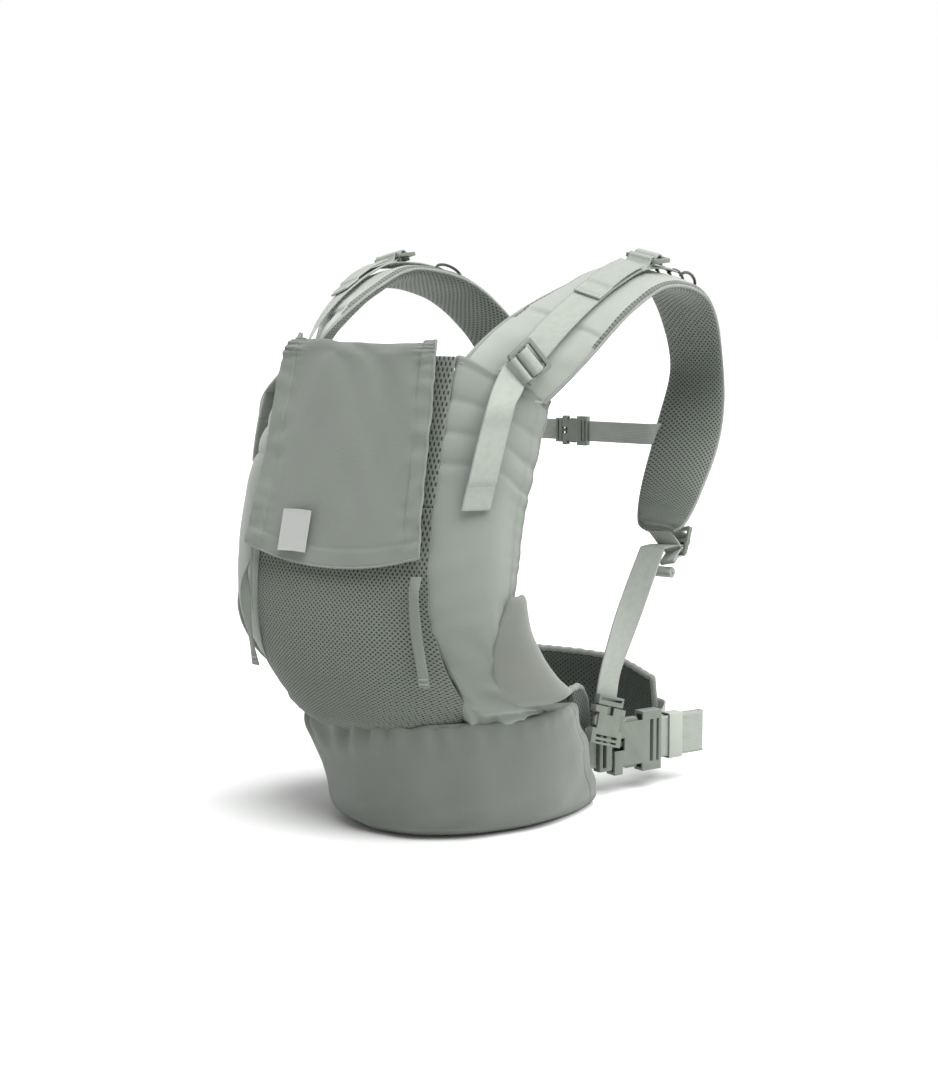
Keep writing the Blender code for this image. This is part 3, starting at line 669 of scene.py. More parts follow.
for label, side in SIDES.items():

    def side_place(u, v, side=side):
        x, y, z = smooth(side_curves(round(v, 5)), u)
        return mm(x * side, y, z)

    def turned_place(u, v, side=side, base=side_place):
        """Runs the other way on the right-hand side, so that the cloth always faces outwards."""
        return base(u if side > 0 else 1 - u, v)

    def turned_relief(u, v, side=side):
        return side_relief(u if side > 0 else 1 - u, v)

    bm = cloth_grid(turned_place, 76, 170, SIDE_SIZE, turned_relief)
    side_panel = add_wall(add_piece(f"side_cloth_{label}", bm, [side_cloth]), 1.6 * MM)
    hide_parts(f"side_panel_{label}")
    flat_size(side_place)
    back_u = 1.0 if side > 0 else 0.0
    points, normals = surface_line(
        turned_place, turned_relief, shares_between((back_u, 0.0), (back_u, 1.0), 90), -0.8 * MM
    )
    piping(f"side_edge_{label}", points, 1.4 * MM, plain_cloth)
    bm = bmesh.new()
    for u in (0.918, 0.30):
        share = u if side > 0 else 1 - u
        lines = surface_line(turned_place, turned_relief, shares_between((share, 0.02), (share, 0.99), 100))
        stitch_row(bm, *lines)
    start, end = (0.30, 0.92) if side > 0 else (0.70, 0.08)
    for row in QUILT_ROWS[:-1]:
        pairs = shares_between((start, row), (end, row), 30)
        stitch_row(bm, *surface_line(turned_place, turned_relief, pairs, 0.1 * MM))
    add_piece(f"side_stitching_{label}", bm, [thread])

# ---- Leg cushions: foam rolls under smooth cotton at the back edge of each leg opening ----
# Each is cut from a curved strip, so its outer seam is longer than its inner one.
LEG_FRONT = [(142, 2, 224), (138, -5, 190), (130, 10, 154), (127, 40, 131), (125, 78, 124)]
LEG_BACK = [(142, 7, 224), (145, 20, 190), (143, 52, 158), (138, 86, 137), (130, 112, 126)]
LEG_CROWN = Vector((3, 0, 0))
LEG_LAP = Vector((-3, -12, 0))  # its front seam is sewn in behind the side panel's edge
LEG_THICK = 11 * MM


def superellipse(turn, square):
    """Across and out of a rounded flat section at a turn round it, each from -1 to 1."""
    c, s = math.cos(turn), math.sin(turn)
    return math.copysign(abs(c) ** (2 / square), c), math.copysign(abs(s) ** (2 / square), s)


def padded_place(surface, thickness, facing=1, square=2.7, end=0.03, middle=0.0, swell=None):
    """Wraps a padded skin round surface(s, t): its section is a rounded flat oval and its ends are round.

    facing is 1 where across, along and outwards are right-handed. middle shifts the pad out of the surface,
    in half thicknesses, and swell(t) gives the thickness along it as a share."""

    def place(u, v):
        across, out = superellipse(-2 * math.pi * u * facing, square)
        t = 0.6 * v + 0.4 * (0.5 - 0.5 * math.cos(math.pi * v))
        near = min(t, 1 - t) / end
        shrink = math.sqrt(max(0.0, 1 - (1 - near) ** 2)) if near < 1 else 1.0
        s = 0.5 + 0.5 * across * (0.25 + 0.75 * shrink)
        step = 0.01
        sideways = surface(min(s + step, 1), t) - surface(max(s - step, 0), t)
        along = surface(s, min(t + step, 1)) - surface(s, max(t - step, 0))
        normal = sideways.cross(along).normalized() * facing
        deep = thickness / 2 * (swell(t) if swell else 1.0)
        return surface(s, t) + normal * (out * shrink + middle) * deep

    return place


def close_skin(bm):
    """Sews up the skin where its grid meets itself, and closes its two ends."""
    bmesh.ops.remove_doubles(bm, verts=bm.verts, dist=0.02 * MM)
    edges = [edge for edge in bm.edges if edge.is_boundary]
    bmesh.ops.holes_fill(bm, edges=edges, sides=0)
    bmesh.ops.recalc_face_normals(bm, faces=bm.faces)
    return bm


def padded_chart(width, length, thickness, square=2.7):
    """Metres across and along a padded skin, so that a weave keeps its scale round the edges."""

    def chart(u, v):
        across, out = superellipse(-2 * math.pi * u, square)
        t = 0.6 * v + 0.4 * (0.5 - 0.5 * math.cos(math.pi * v))
        return (across * width / 2 + out * thickness / 2, t * length)

    return chart


leg_cloth = woven("brushed cotton, light sage", "696D66", 0.85, 0.8 * MM, 0.2, 0.35, 0.06)
for label, side in SIDES.items():

    def leg_surface(s, t, side=side):
        front, back = smooth(LEG_FRONT, t), smooth(LEG_BACK, t)
        point = front.lerp(back, s) + LEG_CROWN * 4 * s * (1 - s) + LEG_LAP * (1 - s) ** 2 * min(1.0, 3 * t)
        return mm(point.x * side, point.y, point.z)

    def leg_relief(u, v):
        seam = math.exp(-(((u - 0.5) / 0.02) ** 2)) + math.exp(-(((u - 1.0) / 0.02) ** 2))
        soft = noise.noise(Vector((u * 4, v * 7, 5.0))) * 1.0 * MM
        return soft - 0.5 * MM * seam

    place = padded_place(leg_surface, LEG_THICK, side, 2.3, 0.06, -1.0)
    chart = padded_chart(40 * MM, 150 * MM, LEG_THICK)
    bm = close_skin(cloth_grid(place, 40, 70, (0, 0), leg_relief, chart))
    leg = add_piece(f"leg_pad_{label}", bm, [leg_cloth])
    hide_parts(f"leg_cushion_{label}")

# ---- Waist belt: a deep foam belt under a loose cotton cover ----
# The cover is gathered onto the seat's lower seam, quilted by two rows of stitching, and turned under at
# the hem. It flares towards its top.
BELT_PLAN = [(-100, 194), (-105, 140), (-93, 88), (-64, 40), (-32, 11), (8, 0)]
BELT_PLAN += [(50, 6), (84, 36), (106, 84), (113, 140), (104, 194)]
BELT_LOW = 0.6
BELT_HIGH = 106
BELT_LEAN = -30
BELT_FLARE = {-1: 0.19, 1: 0.07}
BELT_END = 120
BELT_SLANT = 22
BELT_TUCK = 8
BELT_THICK = 12 * MM
BELT_SIZE = (600 * MM, 110 * MM)
belt_cloth = woven("smooth cotton cover, sage", "5F645E", 0.85, 0.9 * MM, 0.25, 0.3, 0.07)


@lru_cache(maxsize=4000)
def belt_plan(t):
    return tuple(smooth(BELT_PLAN, t))


def belt_surface(share, t):
    """A point of the belt's inner face, from its hem up, along the belt from right to left."""
    x, y = belt_plan(round(t, 5))
    ends = max(y - BELT_END, 0) / (BELT_PLAN[0][1] - BELT_END) * BELT_SLANT * share
    tuck = BELT_TUCK * max(0.0, 1 - share / 0.1)
    y = y + BELT_LEAN * share - ends + tuck
    x = x * (1 + BELT_FLARE[1 if x > 0 else -1] * share)
    return mm(x - math.copysign(min(tuck, abs(x)), x), y, BELT_LOW + (BELT_HIGH - BELT_LOW) * share)


def belt_wall(u, v):
    """The belt's skin: u runs round its section from the top edge, down outside and up inside."""
    up, out = superellipse(2 * math.pi * u, 3.6)
    t = 0.7 * v + 0.3 * (0.5 - 0.5 * math.cos(math.pi * v))
    near = min(t, 1 - t) / 0.014
    shrink = math.sqrt(max(0.0, 1 - (1 - near) ** 2)) if near < 1 else 1.0
    share = 0.5 + 0.5 * up * (0.9 + 0.1 * shrink)
    step = 0.004
    along = belt_surface(share, min(t + step, 1)) - belt_surface(share, max(t - step, 0))
    normal = along.cross(Vector((0, 0, 1))).normalized()
    point = belt_surface(share, t) + normal * (out * shrink + 1) * BELT_THICK / 2
    point.z = max(point.z, 0.2 * MM)
    return point


def belt_relief(u, v):
    up, out = superellipse(2 * math.pi * u, 3.6)
    if out < 0:
        return noise.noise(Vector((u * 6, v * 20, 1.0))) * 0.8 * MM
    share = 0.5 + 0.5 * up
    across, along = v * BELT_SIZE[0], share * BELT_SIZE[1]
    front = math.exp(-(((v - 0.44) / 0.24) ** 2))
    wander = 3 * noise.noise(Vector((across * 14, 0, 2.0)))
    ripple = noise.noise(Vector((across * 30, along * 30, 4.0)))
    gather = math.sin(across / (3.6 * MM) + wander + 1.6 * ripple)
    gather *= 3.0 * MM * front * step_up(share, 0.82, 0.34)
    folds = crease(across, along, 78, 46 * MM, 3.0) * 9.0 * MM * (0.5 + 0.5 * front) * min(1.0, share * 3)
    folds += crease(across, along, 15, 24 * MM, 8.0) * 5.0 * MM * min(1.0, share * 4)
    lines = sum(math.exp(-((((share - row) * BELT_SIZE[1]) / (1.1 * MM)) ** 2)) for row in (0.45, 0.56))
    bound = min(v, 1 - v) * BELT_SIZE[0]
    seam = math.exp(-(((bound - 34 * MM) / (1.1 * MM)) ** 2))
    return gather + folds - 0.7 * MM * lines - 0.7 * MM * seam


def belt_chart(u, v):
    up, out = superellipse(2 * math.pi * u, 3.6)
    return (v * BELT_SIZE[0], up * BELT_SIZE[1] / 2 + out * BELT_THICK / 2)


bm = close_skin(cloth_grid(belt_wall, 84, 300, (0, 0), belt_relief, belt_chart))
belt = add_piece("belt_cover", bm, [belt_cloth])
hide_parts("waist_belt")

# ---- Belt wings: foam under spacer mesh, bound with a ruffled cotton tape ----
# The right-hand wing reaches round the wearer's back, and the left-hand one ends behind the hip.
FAR_WING = [
    (-92, 206, 22, 110),
    (-94, 262, 24, 112),
    (-76, 318, 26, 112),
    (-30, 350, 28, 110),
    (36, 358, 30, 106),
    (84, 352, 44, 92),
]
NEAR_WING = [(83, 196, 16, 104), (80, 220, 22, 104), (77, 236, 38, 90)]
WING_LEAN = -8
WING_THICK = 10 * MM
wing_mesh = spacer_mesh("dark spacer mesh lining", "454B45", "191D19")
binding_cloth = woven("cotton binding, light sage", "858B84", 0.8, 0.8 * MM, 0.25, 0.3, warp="UVMap")

for label, stations, rows, length in (("right", FAR_WING, 130, 290 * MM), ("left", NEAR_WING, 40, 42 * MM)):

    def wing_surface(s, t, stations=stations):
        x, y, low, high = smooth(stations, t)
        return mm(x, y + WING_LEAN * s, low + (high - low) * s)

    def wing_relief(u, v, size=length):
        return noise.noise(Vector((u * 5, v * size / (30 * MM), 2.0))) * 1.0 * MM

    place = padded_place(wing_surface, WING_THICK, -1, 3.2, 0.02 if label == "right" else 0.12)
    chart = padded_chart(86 * MM, length, WING_THICK)
    bm = close_skin(cloth_grid(place, 56, rows, (0, 0), wing_relief, chart))
    wing = add_piece(f"wing_pad_{label}", bm, [wing_mesh])
    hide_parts(f"belt_wing_{label}")
    points = []
    for s0, t0, s1, t1 in ((0, 0.02, 0, 1), (0, 1, 1, 1), (1, 1, 1, 0.02)):
        count = 110 if s0 == s1 else 30
        for k in range(count):
            s_, t_ = s0 + (s1 - s0) * k / count, t0 + (t1 - t0) * k / count
            ruffle = 0.5 * MM * math.sin((t_ * length + s_ * 86 * MM) / (1.6 * MM))
            points.append(wing_surface(s_, min(t_, 1.0)) + Vector((0, 0, ruffle)))
    piping(f"wing_binding_{label}", points, 3.4 * MM, binding_cloth)

# ---- Shoulder pads: foam arcs, light woven polyester outside and spacer mesh against the wearer ----
# The seam between the two runs along both edges under a narrow piping, and cross seams quilt the outside
# where the pad bends from the yoke over the shoulder.
STRAP_STATIONS = [
    (112, 29, 396, 0.45, 0.80, -0.42, 43),
    (129, 80, 437, 0.78, 0.50, -0.36, 40),
    (141, 140, 470, 0.95, 0.16, -0.30, 34),
    (146, 208, 489, 0.97, 0.00, -0.22, 33),
    (136, 298, 470, 0.97, 0.00, -0.14, 32),
    (118, 364, 404, 0.98, -0.15, 0.00, 31),
    (116, 352, 338, 0.95, 0.22, 0.00, 32),
    (118, 316, 284, 1.00, 0.00, 0.00, 32),
    (119, 297, 256, 1.00, 0.00, 0.00, 25),
    (119, 291, 248, 1.00, 0.00, 0.00, 15),
]
RIGHT_LEAN = 14
PAD_THICK = 14 * MM
PAD_LENGTH = 640 * MM
PAD_SEAMS = (0.012, 0.145)
pad_cloth = woven("smooth woven polyester, pale sage", "8D928B", 0.7, 0.8 * MM, 0.12, 0.4, 0.05)
pad_mesh = spacer_mesh("spacer mesh lining", "666C65", "262B25")


def beside(place, side):
    """A point of a strap on the left (1) or the right (-1) of the carrier."""
    return mm(place[0] * side + (RIGHT_LEAN if side < 0 else 0), place[1], place[2])


@lru_cache(maxsize=8000)
def strap_station(t):
    return tuple(smooth(STRAP_STATIONS, t))


def pad_surface_of(side):
    def pad_surface(s, t):
        here = strap_station(round(t, 5))
        across = Vector(here[3:6]).normalized() * Vector((side, 1, 1))
        return beside(here, side) + across * here[6] * MM * (2 * s - 1)

    return pad_surface


def pad_relief(u, v, side=1):
    across, out = superellipse(-2 * math.pi * u * side, 2.9)
    t = 0.6 * v + 0.4 * (0.5 - 0.5 * math.cos(math.pi * v))
    soft = noise.noise(Vector((u * 5, t * 26, 3.0))) * 1.0 * MM
    if out < 0.15:
        return soft * 0.6
    seams = sum(math.exp(-((((t - seam) * PAD_LENGTH) / (1.8 * MM)) ** 2)) for seam in PAD_SEAMS)
    puff = -2.2 * MM * (1 - step_up(t, PAD_SEAMS[1], 0.012)) * (1 - 0.4 * across**4)
    pucker = math.sin(across * 30 * MM / (2.4 * MM)) * 0.7 * MM
    puff += pucker * math.exp(-((((t - PAD_SEAMS[1]) * PAD_LENGTH) / (9 * MM)) ** 2))
    cap = 1.2 * MM * math.exp(-((((t - 0.93) * PAD_LENGTH) / (2.2 * MM)) ** 2))
    wrinkle = crease(across * 30 * MM, t * PAD_LENGTH, 82, 16 * MM, 6.0) * 1.0 * MM
    return soft + puff + wrinkle - 1.6 * MM * seams * (1 - across**6) - cap


def pad_swell(t):
    """The pad starts as flat as the yoke that it is sewn to, and fills out past its first cross seam."""
    return 0.35 + 0.65 * step_up(t, 0.06, 0.10)


PAD_COLUMNS = 60
PAD_ROWS = 260
CLOTH_FROM = 0.62  # how far round the edge the outer cloth comes; the mesh covers the rest
YOKE_SHARE = 0.16  # the share of its rows where the outer cloth also covers the edges
for label, side in SIDES.items():
    pad_surface = pad_surface_of(side)
    place = padded_place(pad_surface, PAD_THICK, side, 2.9, 0.012, 0.0, pad_swell)
    chart = padded_chart(66 * MM, PAD_LENGTH, PAD_THICK, 2.9)

    def relief_of_side(u, v, side=side):
        return pad_relief(u, v, side)

    bm = cloth_grid(place, PAD_COLUMNS, PAD_ROWS, (0, 0), relief_of_side, chart)
    for index, face in enumerate(bm.faces):
        column, row = index % PAD_COLUMNS, index // PAD_COLUMNS
        out = superellipse(-2 * math.pi * (column + 0.5) / PAD_COLUMNS * side, 2.9)[1]
        covered = out > (CLOTH_FROM if row > YOKE_SHARE * PAD_ROWS else 0)
        face.material_index = 0 if covered else 1
    close_skin(bm)
    pad = add_piece(f"pad_{label}", bm, [pad_cloth, pad_mesh])
    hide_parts(f"shoulder_pad_{label}")
    for edge, s in (("inner", 0.0), ("outer", 1.0)):
        points = [pad_surface(s, 0.01 + 0.975 * k / 160) for k in range(161)]
        piping(f"pad_piping_{label}_{edge}", points, 1.5 * MM, binding_cloth)

# ---- Webbing: ribbed polyester tape, 25 mm on the straps, 40 mm at the waist and 20 mm at the chest ----
# Each length is heat-cut, and its end is folded over itself and stitched across.
WEB_THICK = 1.6 * MM


def ribbed_webbing(name, colour, rib=1.5 * MM):
    """Woven polyester webbing: fine ribs along its length crossed by the weft, with a dull sheen."""
    made, tree, shader = finish(name, colour, 0.65)
    shader.inputs["Sheen Weight"].default_value = 0.2
    place = node(tree, "ShaderNodeUVMap", {"uv_map": "cloth"}).outputs["UV"]
    scale = 2 * math.pi / 20
    ribs = node(tree, "ShaderNodeTexWave", {"bands_direction": "X"}, Vector=place, Scale=scale / rib)
    weft = node(tree, "ShaderNodeTexWave", {"bands_direction": "Y"}, Vector=place, Scale=scale / (0.9 * MM))
    slubs = node(tree, "ShaderNodeTexNoise", Vector=place, Scale=0.15 / MM, Detail=2.0)
    height = node(tree, "ShaderNodeMath", {"operation": "MULTIPLY_ADD"}, Value=weft.outputs["Fac"])
    height.inputs[1].default_value = 0.45
    tree.links.new(ribs.outputs["Fac"], height.inputs[2])
    shade = node(tree, "ShaderNodeMath", {"operation": "MULTIPLY_ADD"}, Value=height.outputs[0])
    shade.inputs[1].default_value = 0.4
    tree.links.new(slubs.outputs["Fac"], shade.inputs[2])
    # Painted shade: the colour is lighter on the ribs' tops and darker in the grooves between them, and the
    # slubs vary its tone at random.
    dark = [c * 0.82 for c in linear(colour)[:3]] + [1.0]
    light = [min(1.0, c * 1.1) for c in linear(colour)[:3]] + [1.0]
    mixed = node(tree, "ShaderNodeMix", {"data_type": "RGBA"}, Factor=shade.outputs[0], A=dark, B=light)
    tree.links.new(result(mixed), shader.inputs["Base Color"])
    bump = node(tree, "ShaderNodeBump", Height=height.outputs[0], Strength=0.5, Distance=0.35 * MM)
    tree.links.new(bump.outputs["Normal"], shader.inputs["Normal"])
    return made


strap_web = ribbed_webbing("ribbed polyester webbing, sage", "888E86")
BODY_OF = {}
for body, members in frame["record"]["behaviour"]["bodies"].items():
    for member in members:
        BODY_OF[member] = body


def strap(name, cad_node, route, across, width, steps=60, folded=0.0, facing=1, body=None):
    """A length of webbing along the route. The last folded part of it is doubled over and stitched."""
    directions = [across] * len(route) if isinstance(across, Vector) else across
    length = sum((smooth(route, (k + 1) / 40) - smooth(route, k / 40)).length for k in range(40))

    def place(u, v):
        side = smooth([tuple(d) for d in directions], v).normalized()
        return smooth([tuple(p) for p in route], v) + side * (u - 0.5) * width * facing

    def relief(u, v):
        over = step_up(v * length, length - folded, 1.0 * MM) * WEB_THICK * 0.9 if folded else 0.0
        flat = -0.35 * MM * step_up(abs(2 * u - 1), 0.93, 0.08)
        return over + flat

    bm = cloth_grid(place, 14, steps, (width, length), relief)
    made = add_wall(add_piece(name, bm, [strap_web], body or BODY_OF[cad_node]), WEB_THICK, 0.0)
    if cad_node:
        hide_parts(cad_node)
    if folded:
        bm = bmesh.new()
        for near in (folded - 3 * MM, 4 * MM):
            v = 1 - near / length
            for face in (1, -1):
                lift = 0.9 * MM if face > 0 else -2.1 * MM
                pairs = shares_between((0.08, v), (0.92, v), 14)
                points, normals = surface_line(place, relief, pairs, lift)
                stitch_row(bm, points, [n * face for n in normals], 2.2 * MM, 1.6 * MM, 0.5 * MM)
        sewing = add_piece(name + "_stitching", bm, [thread], body or BODY_OF[cad_node])
    return made


WEB_RISE = PAD_THICK / 2 + 5 * MM
TAIL_RISE = PAD_THICK / 2 + 9 * MM
STRAP_WIDTH = 25 * MM


def along_pad(shares, rise, side):
    """Points above a pad's middle, with the directions across it."""
    surface = pad_surface_of(side)
    route, acrosses = [], []
    for share in shares:
        middle, step = surface(0.5, share), 0.01
        across = (surface(0.6, share) - surface(0.4, share)).normalized()
        along = surface(0.5, share + step) - surface(0.5, share - step)
        out = across.cross(along).normalized() * side
        route.append(middle + out * rise)
        acrosses.append(across)
    return route, acrosses


FRONT_TAIL = {
    "left": [(138, -4, 386), (137, -14, 362), (135, -24, 332), (130, -30, 298)],
    "right": [(142, 34, 384), (146, 30, 360), (149, 26, 330), (150, 24, 300)],
}
TAIL_ACROSS = {"left": Vector((0.6, 0.8, 0.0)), "right": Vector((0.0, 1.0, 0.0))}
LOWER_WEB = [(116, 286, 232), (112, 262, 190), (109, 240, 150), (108, 222.5, 119), (108, 214, 92)]
LOWER_ACROSS = [(1, 0.1, 0), (0.9, 0.35, 0), (0.6, 0.8, 0), (0.35, 0.94, 0), (0.35, 0.94, 0)]
for label, side in SIDES.items():
    flip = Vector((side, 1, 1))
    route, acrosses = along_pad((0.03, 0.06, 0.11, 0.16, 0.21, 0.26, 0.31, 0.36, 0.39), WEB_RISE, side)
    strap(f"top_strap_{label}", f"top_webbing_{label}", route, acrosses, STRAP_WIDTH, 90, 0.0, side)
    route, acrosses = along_pad((0.305, 0.27, 0.235, 0.195), TAIL_RISE, side)
    strap(f"top_tail_strap_{label}", f"top_tail_{label}", route, acrosses, STRAP_WIDTH, 50, 20 * MM, side)
    route = [mm(x * side, y, z) for x, y, z in FRONT_TAIL[label]]
    across = TAIL_ACROSS[label] * flip
    strap(f"front_tail_strap_{label}", f"front_tail_{label}", route, across, STRAP_WIDTH, 60, 20 * MM, side)
    route = [beside(LOWER_WEB[0], side)] + [mm(x * side, y, z) for x, y, z in LOWER_WEB[1:]]
    acrosses = [Vector(a) * flip for a in LOWER_ACROSS]
    strap(f"lower_strap_{label}", f"lower_webbing_{label}", route, acrosses, STRAP_WIDTH, 80, 0.0, side)

JOINTS = {joint["name"]: joint for joint in frame["record"]["behaviour"]["joints"]}


def adjuster_frame(name):
    """Where an adjuster's sewn bar is, with the directions along its plate, across it and out of its face."""
    joint = JOINTS[name + "_tilt"]
    low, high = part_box(name)
    origin, across = Vector(joint["pos_m"]), -Vector(joint["axis"]).normalized()
    along = (Vector(low) + Vector(high)) / 2 - origin
    along = (along - across * along.dot(across)).normalized()
    return origin, along, across, along.cross(across)


# Round each adjuster's middle bar the webbing makes a tight turn, and a sewn tab holds its end bar
WRAP = [(19.5, -5.2), (18.2, -1.5), (17.0, 2.0), (14.5, 4.4), (11.8, 5.0)]
WRAP += [(9.0, 4.4), (6.8, 2.0), (5.8, -1.5), (4.5, -5.0)]
TAB = [(-13, -7.0), (-7, -5.0), (-3.5, -0.8), (-2.2, 2.0), (0, 3.2)]
TAB += [(2.2, 2.0), (2.8, -1.2), (-1, -4.0), (-12, -8.2)]
for kind in ("front", "top", "lower"):
    for label, side in SIDES.items():
        name = f"{kind}_adjuster_{label}"
        origin, along, across, out = adjuster_frame(name)
        width = STRAP_WIDTH - 1.5 * MM
        for part, points in (("wrap", WRAP), ("tab", TAB)):
            route = [origin + along * x * MM + out * z * MM for x, z in points]
            body = name if part == "wrap" else "carrier"
            strap(f"{name}_{part}", None, route, across, width, 40, 0.0, 1, body)

UP = Vector((0, 0, 1))

# The lead from the front adjuster down to its tail, and the webbing at the lower end of each pad
for label, side in SIDES.items():
    flip = Vector((side, 1, 1))
    tail = FRONT_TAIL[label]
    start, along, across, out = adjuster_frame(f"front_adjuster_{label}")
    hang = TAIL_ACROSS[label] * flip
    across = across if across.dot(hang) > 0 else -across
    route = [start - along * 3 * MM - out * 6 * MM] + [mm(x * side, y, z) for x, y, z in tail[:2]]
    strap(f"tail_lead_{label}", None, route, [across, hang, hang], STRAP_WIDTH, 40, 0.0, side, "carrier")
    pad_end = pad_surface_of(side)(0.5, 0.985)
    start, along, across, out = adjuster_frame(f"lower_adjuster_{label}")
    hang = Vector((1, 0, 0)) * side
    across = across if across.dot(hang) > 0 else -across
    route = [pad_end, pad_end.lerp(start, 0.5), start - along * 1 * MM]
    strap(f"pad_end_tab_{label}", None, route, [hang, hang, across], STRAP_WIDTH, 24, 0.0, 1, "carrier")
    web = beside(LOWER_WEB[0], side)
    route = [web, web.lerp(start, 0.5) + UP * 5 * MM, start + along * 6 * MM - out * 3 * MM]
    strap(f"lower_lead_{label}", None, route, [hang, hang, across], STRAP_WIDTH, 24, 0.0, 1, "carrier")

WAIST_WIDTH = 40 * MM
WAIST_PLACE = Vector((111, 258, 47))
WAIST_ALONG = Vector((0.35, 0.94, 0)).normalized()
WAIST_OUT = Vector((0.94, -0.35, 0)).normalized()


def waist_point(along, out):
    """A point on the waist webbing's line, from the middle of the buckle."""
    return mm(*(WAIST_PLACE + WAIST_ALONG * along + WAIST_OUT * out))


route = [mm(102, 196, 47), waist_point(-56, 1), waist_point(-43, 0)]
strap("waist_strap_left", "waist_webbing_left", route, UP, WAIST_WIDTH, 40)
route = [waist_point(33, -4), waist_point(52, -19), mm(97, 346, 50), mm(82, 351, 52)]
strap("waist_strap_right", "waist_webbing_right", route, UP, WAIST_WIDTH, 50)
FOLD_AT, FOLD_RADIUS = 87, 3.5
route = [waist_point(33, 0), waist_point(50, 0), waist_point(70, 0)]
for step in range(5):
    turn = math.pi * step / 4
    route.append(waist_point(FOLD_AT + FOLD_RADIUS * math.sin(turn), FOLD_RADIUS * (math.cos(turn) - 1)))
route += [waist_point(66, -7), waist_point(42, -7)]
strap("waist_tail_strap", "waist_tail", route, UP, WAIST_WIDTH, 110)

CHEST_WIDTH = 20 * MM
CHEST_PLACE = (-3, 334, 336)


def chest_point(x, behind=0.0):
    """A point of the chest webbing, level with the buckle."""
    return mm(x, CHEST_PLACE[1] + behind, CHEST_PLACE[2])


route = [chest_point(13.5), chest_point(50), chest_point(80), chest_point(87, 6), chest_point(92, 13)]
strap("chest_strap_left", "chest_webbing_left", route, UP, CHEST_WIDTH, 50)
route = [chest_point(-88, 10), chest_point(-78, 5), chest_point(-68), chest_point(-56, 2)]
route += [chest_point(-44, 5), chest_point(-19, 5)]
strap("chest_strap_right", "chest_webbing_right", route, UP, CHEST_WIDTH, 50)

# ---- Rolled spare webbing: the strap's spare length, wound up and held behind the lower adjuster ----
# It is the same ribbed polyester as the straps, wound into a flat spiral round its own end.
ROLL_TURNS = 3.5
for label, side in SIDES.items():
    low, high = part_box(f"rolled_webbing_{label}")
    middle = (Vector(low) + Vector(high)) / 2
    outer = (high[2] - low[2]) / 2 - WEB_THICK / 2

    def roll_place(u, v, middle=middle, outer=outer, side=side):
        turn = 2 * math.pi * ROLL_TURNS * v
        radius = 1.2 * MM + (outer - 1.2 * MM) * v
        across = Vector((u - 0.5, 0, 0)) * STRAP_WIDTH * side
        return middle + across + Vector((0, math.cos(turn), math.sin(turn))) * radius

    bm = cloth_grid(roll_place, 10, 120, (STRAP_WIDTH, 90 * MM))
    roll = add_wall(add_piece(f"webbing_roll_{label}", bm, [strap_web]), 1.1 * MM, 0.0)
    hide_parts(f"rolled_webbing_{label}")

# ---- Elastic loops: black elastic cord behind each top adjuster, sewn flat to the pad at both ends ----
# Each is a plaited cover over rubber, which gives a matt black line with a fine slanting texture.
LOOP_MARKS = {-3: "b3", -1: "b1", 1: "1", 3: "3"}
elastic, elastic_tree, elastic_shader = finish("black covered elastic", "1B1C1B", 0.75, Sheen_Weight=0.3)
elastic_place = node(elastic_tree, "ShaderNodeTexCoord").outputs["Object"]
plait = node(elastic_tree, "ShaderNodeTexWave", Vector=elastic_place, Scale=0.25 / MM, Distortion=2.0)
bump = node(elastic_tree, "ShaderNodeBump", Height=plait.outputs["Fac"], Strength=0.5, Distance=0.2 * MM)
elastic_tree.links.new(bump.outputs["Normal"], elastic_shader.inputs["Normal"])
for label, side in SIDES.items():
    for turn, mark in LOOP_MARKS.items():
        surface = pad_surface_of(side)
        points = []
        for k in range(25):
            swing = math.pi * k / 24
            t = 0.402 + 0.02 * math.cos(swing)
            middle = surface(0.5 + 0.1 * turn, t)
            across = (surface(0.6, t) - surface(0.4, t)).normalized()
            out = across.cross(surface(0.5, t + 0.01) - surface(0.5, t - 0.01)).normalized() * side
            points.append(middle + out * (PAD_THICK / 2 + 1 * MM + 6 * MM * math.sin(swing)))
        loop = piping(f"elastic_{label}_{mark}", points, 1.4 * MM, elastic)
        if turn == 1:
            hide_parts(f"elastic_loop_{label}")

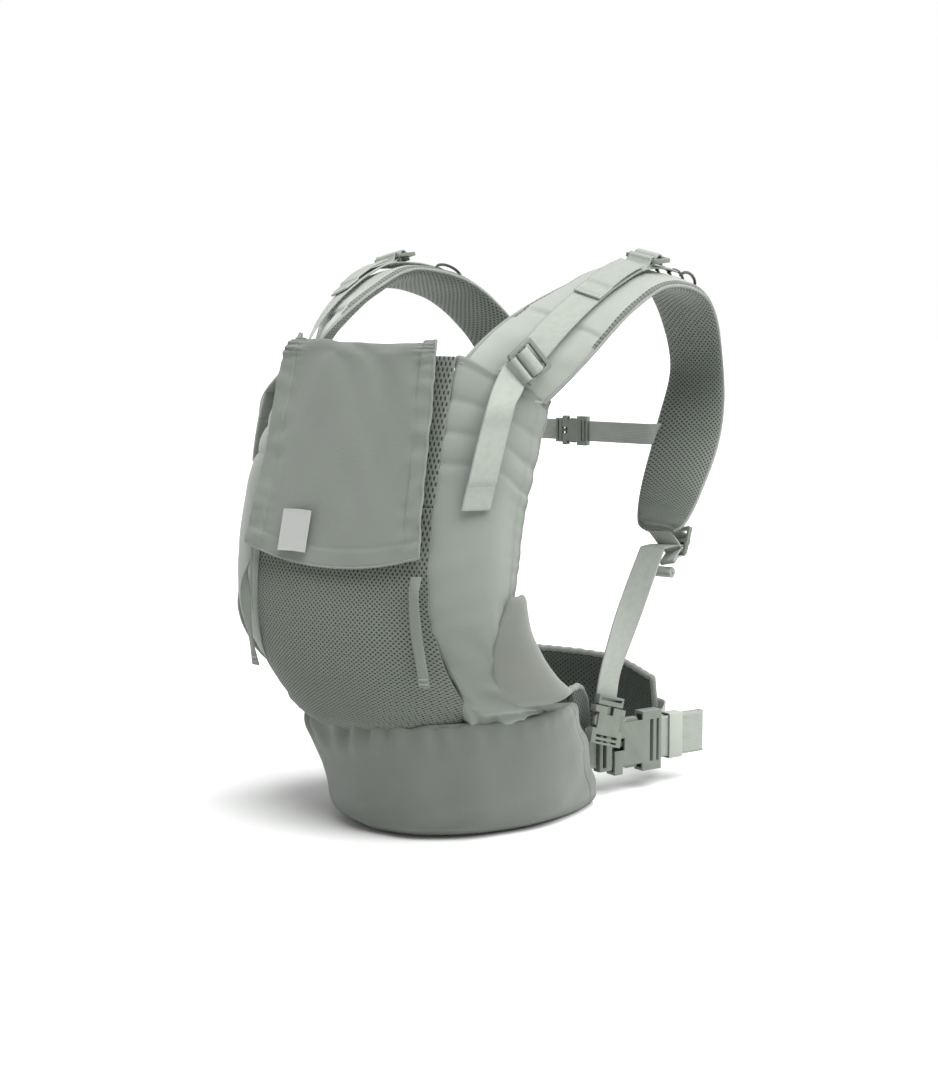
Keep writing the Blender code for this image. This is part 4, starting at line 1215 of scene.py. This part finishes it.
# ---- Buckles and adjusters: injection-moulded acetal, sage, with a fine satin surface ----
# Every sharp edge of a moulding is rounded. The finish is satin, faintly cloudy in its tint and shine.
acetal, acetal_tree, acetal_shader = finish("moulded acetal, sage", "6A7167", 0.38)
acetal_place = node(acetal_tree, "ShaderNodeTexCoord").outputs["Object"]
spark = node(acetal_tree, "ShaderNodeTexNoise", Vector=acetal_place, Scale=2.2 / MM, Detail=3.0)
cloud = node(acetal_tree, "ShaderNodeTexNoise", Vector=acetal_place, Scale=0.08 / MM, Detail=2.0)
rough = node(acetal_tree, "ShaderNodeMapRange", Value=cloud.outputs["Fac"])
rough.inputs["To Min"].default_value = 0.33
rough.inputs["To Max"].default_value = 0.47
acetal_tree.links.new(rough.outputs["Result"], acetal_shader.inputs["Roughness"])
tints = {"A": linear("606760"), "B": linear("6F766B")}
tint = node(acetal_tree, "ShaderNodeMix", {"data_type": "RGBA"}, Factor=cloud.outputs["Fac"], **tints)
acetal_tree.links.new(result(tint), acetal_shader.inputs["Base Color"])
bump = node(acetal_tree, "ShaderNodeBump", Height=spark.outputs["Fac"], Strength=0.25, Distance=0.08 * MM)
acetal_tree.links.new(bump.outputs["Normal"], acetal_shader.inputs["Normal"])


def moulded(cad_node, name, radius):
    """A moulding with the shape of its solid, and every sharp edge rounded."""
    bm = bmesh.new()
    bm.from_mesh(frame["nodes"][cad_node].data)
    bmesh.ops.remove_doubles(bm, verts=bm.verts, dist=0.005 * MM)
    bmesh.ops.dissolve_limit(bm, angle_limit=math.radians(2), verts=bm.verts, edges=bm.edges)
    edges = [e for e in bm.edges if e.is_manifold and e.calc_face_angle() > math.radians(40)]
    bmesh.ops.bevel(
        bm,
        geom=edges,
        offset=radius,
        segments=2,
        profile=0.5,
        affect="EDGES",
        material=-1,
        clamp_overlap=True,
    )
    made = add_piece(name, bm, [acetal], BODY_OF[cad_node])
    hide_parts(cad_node)
    return made


for cad_node in sorted(BODY_OF):
    if "adjuster" in cad_node:
        moulded(cad_node, cad_node + "_moulding", 0.9 * MM)
    elif "buckle" in cad_node:
        big = "waist" in cad_node
        moulded(cad_node, cad_node + "_moulding", (0.9 if big else 0.5) * MM)

# ---- Keeper: a band of light elastic round the doubled spare webbing ----
# It is a plain woven band with rounded edges, paler and duller than the webbing that it holds.
keeper = moulded("waist_webbing_keeper", "keeper_band", 0.5 * MM)
keeper.data.materials.clear()
keeper_plain = woven("woven elastic band, pale", "979D94", 0.8, 1.0 * MM, 0.3, warp="UVMap")
keeper.data.materials.append(keeper_plain)
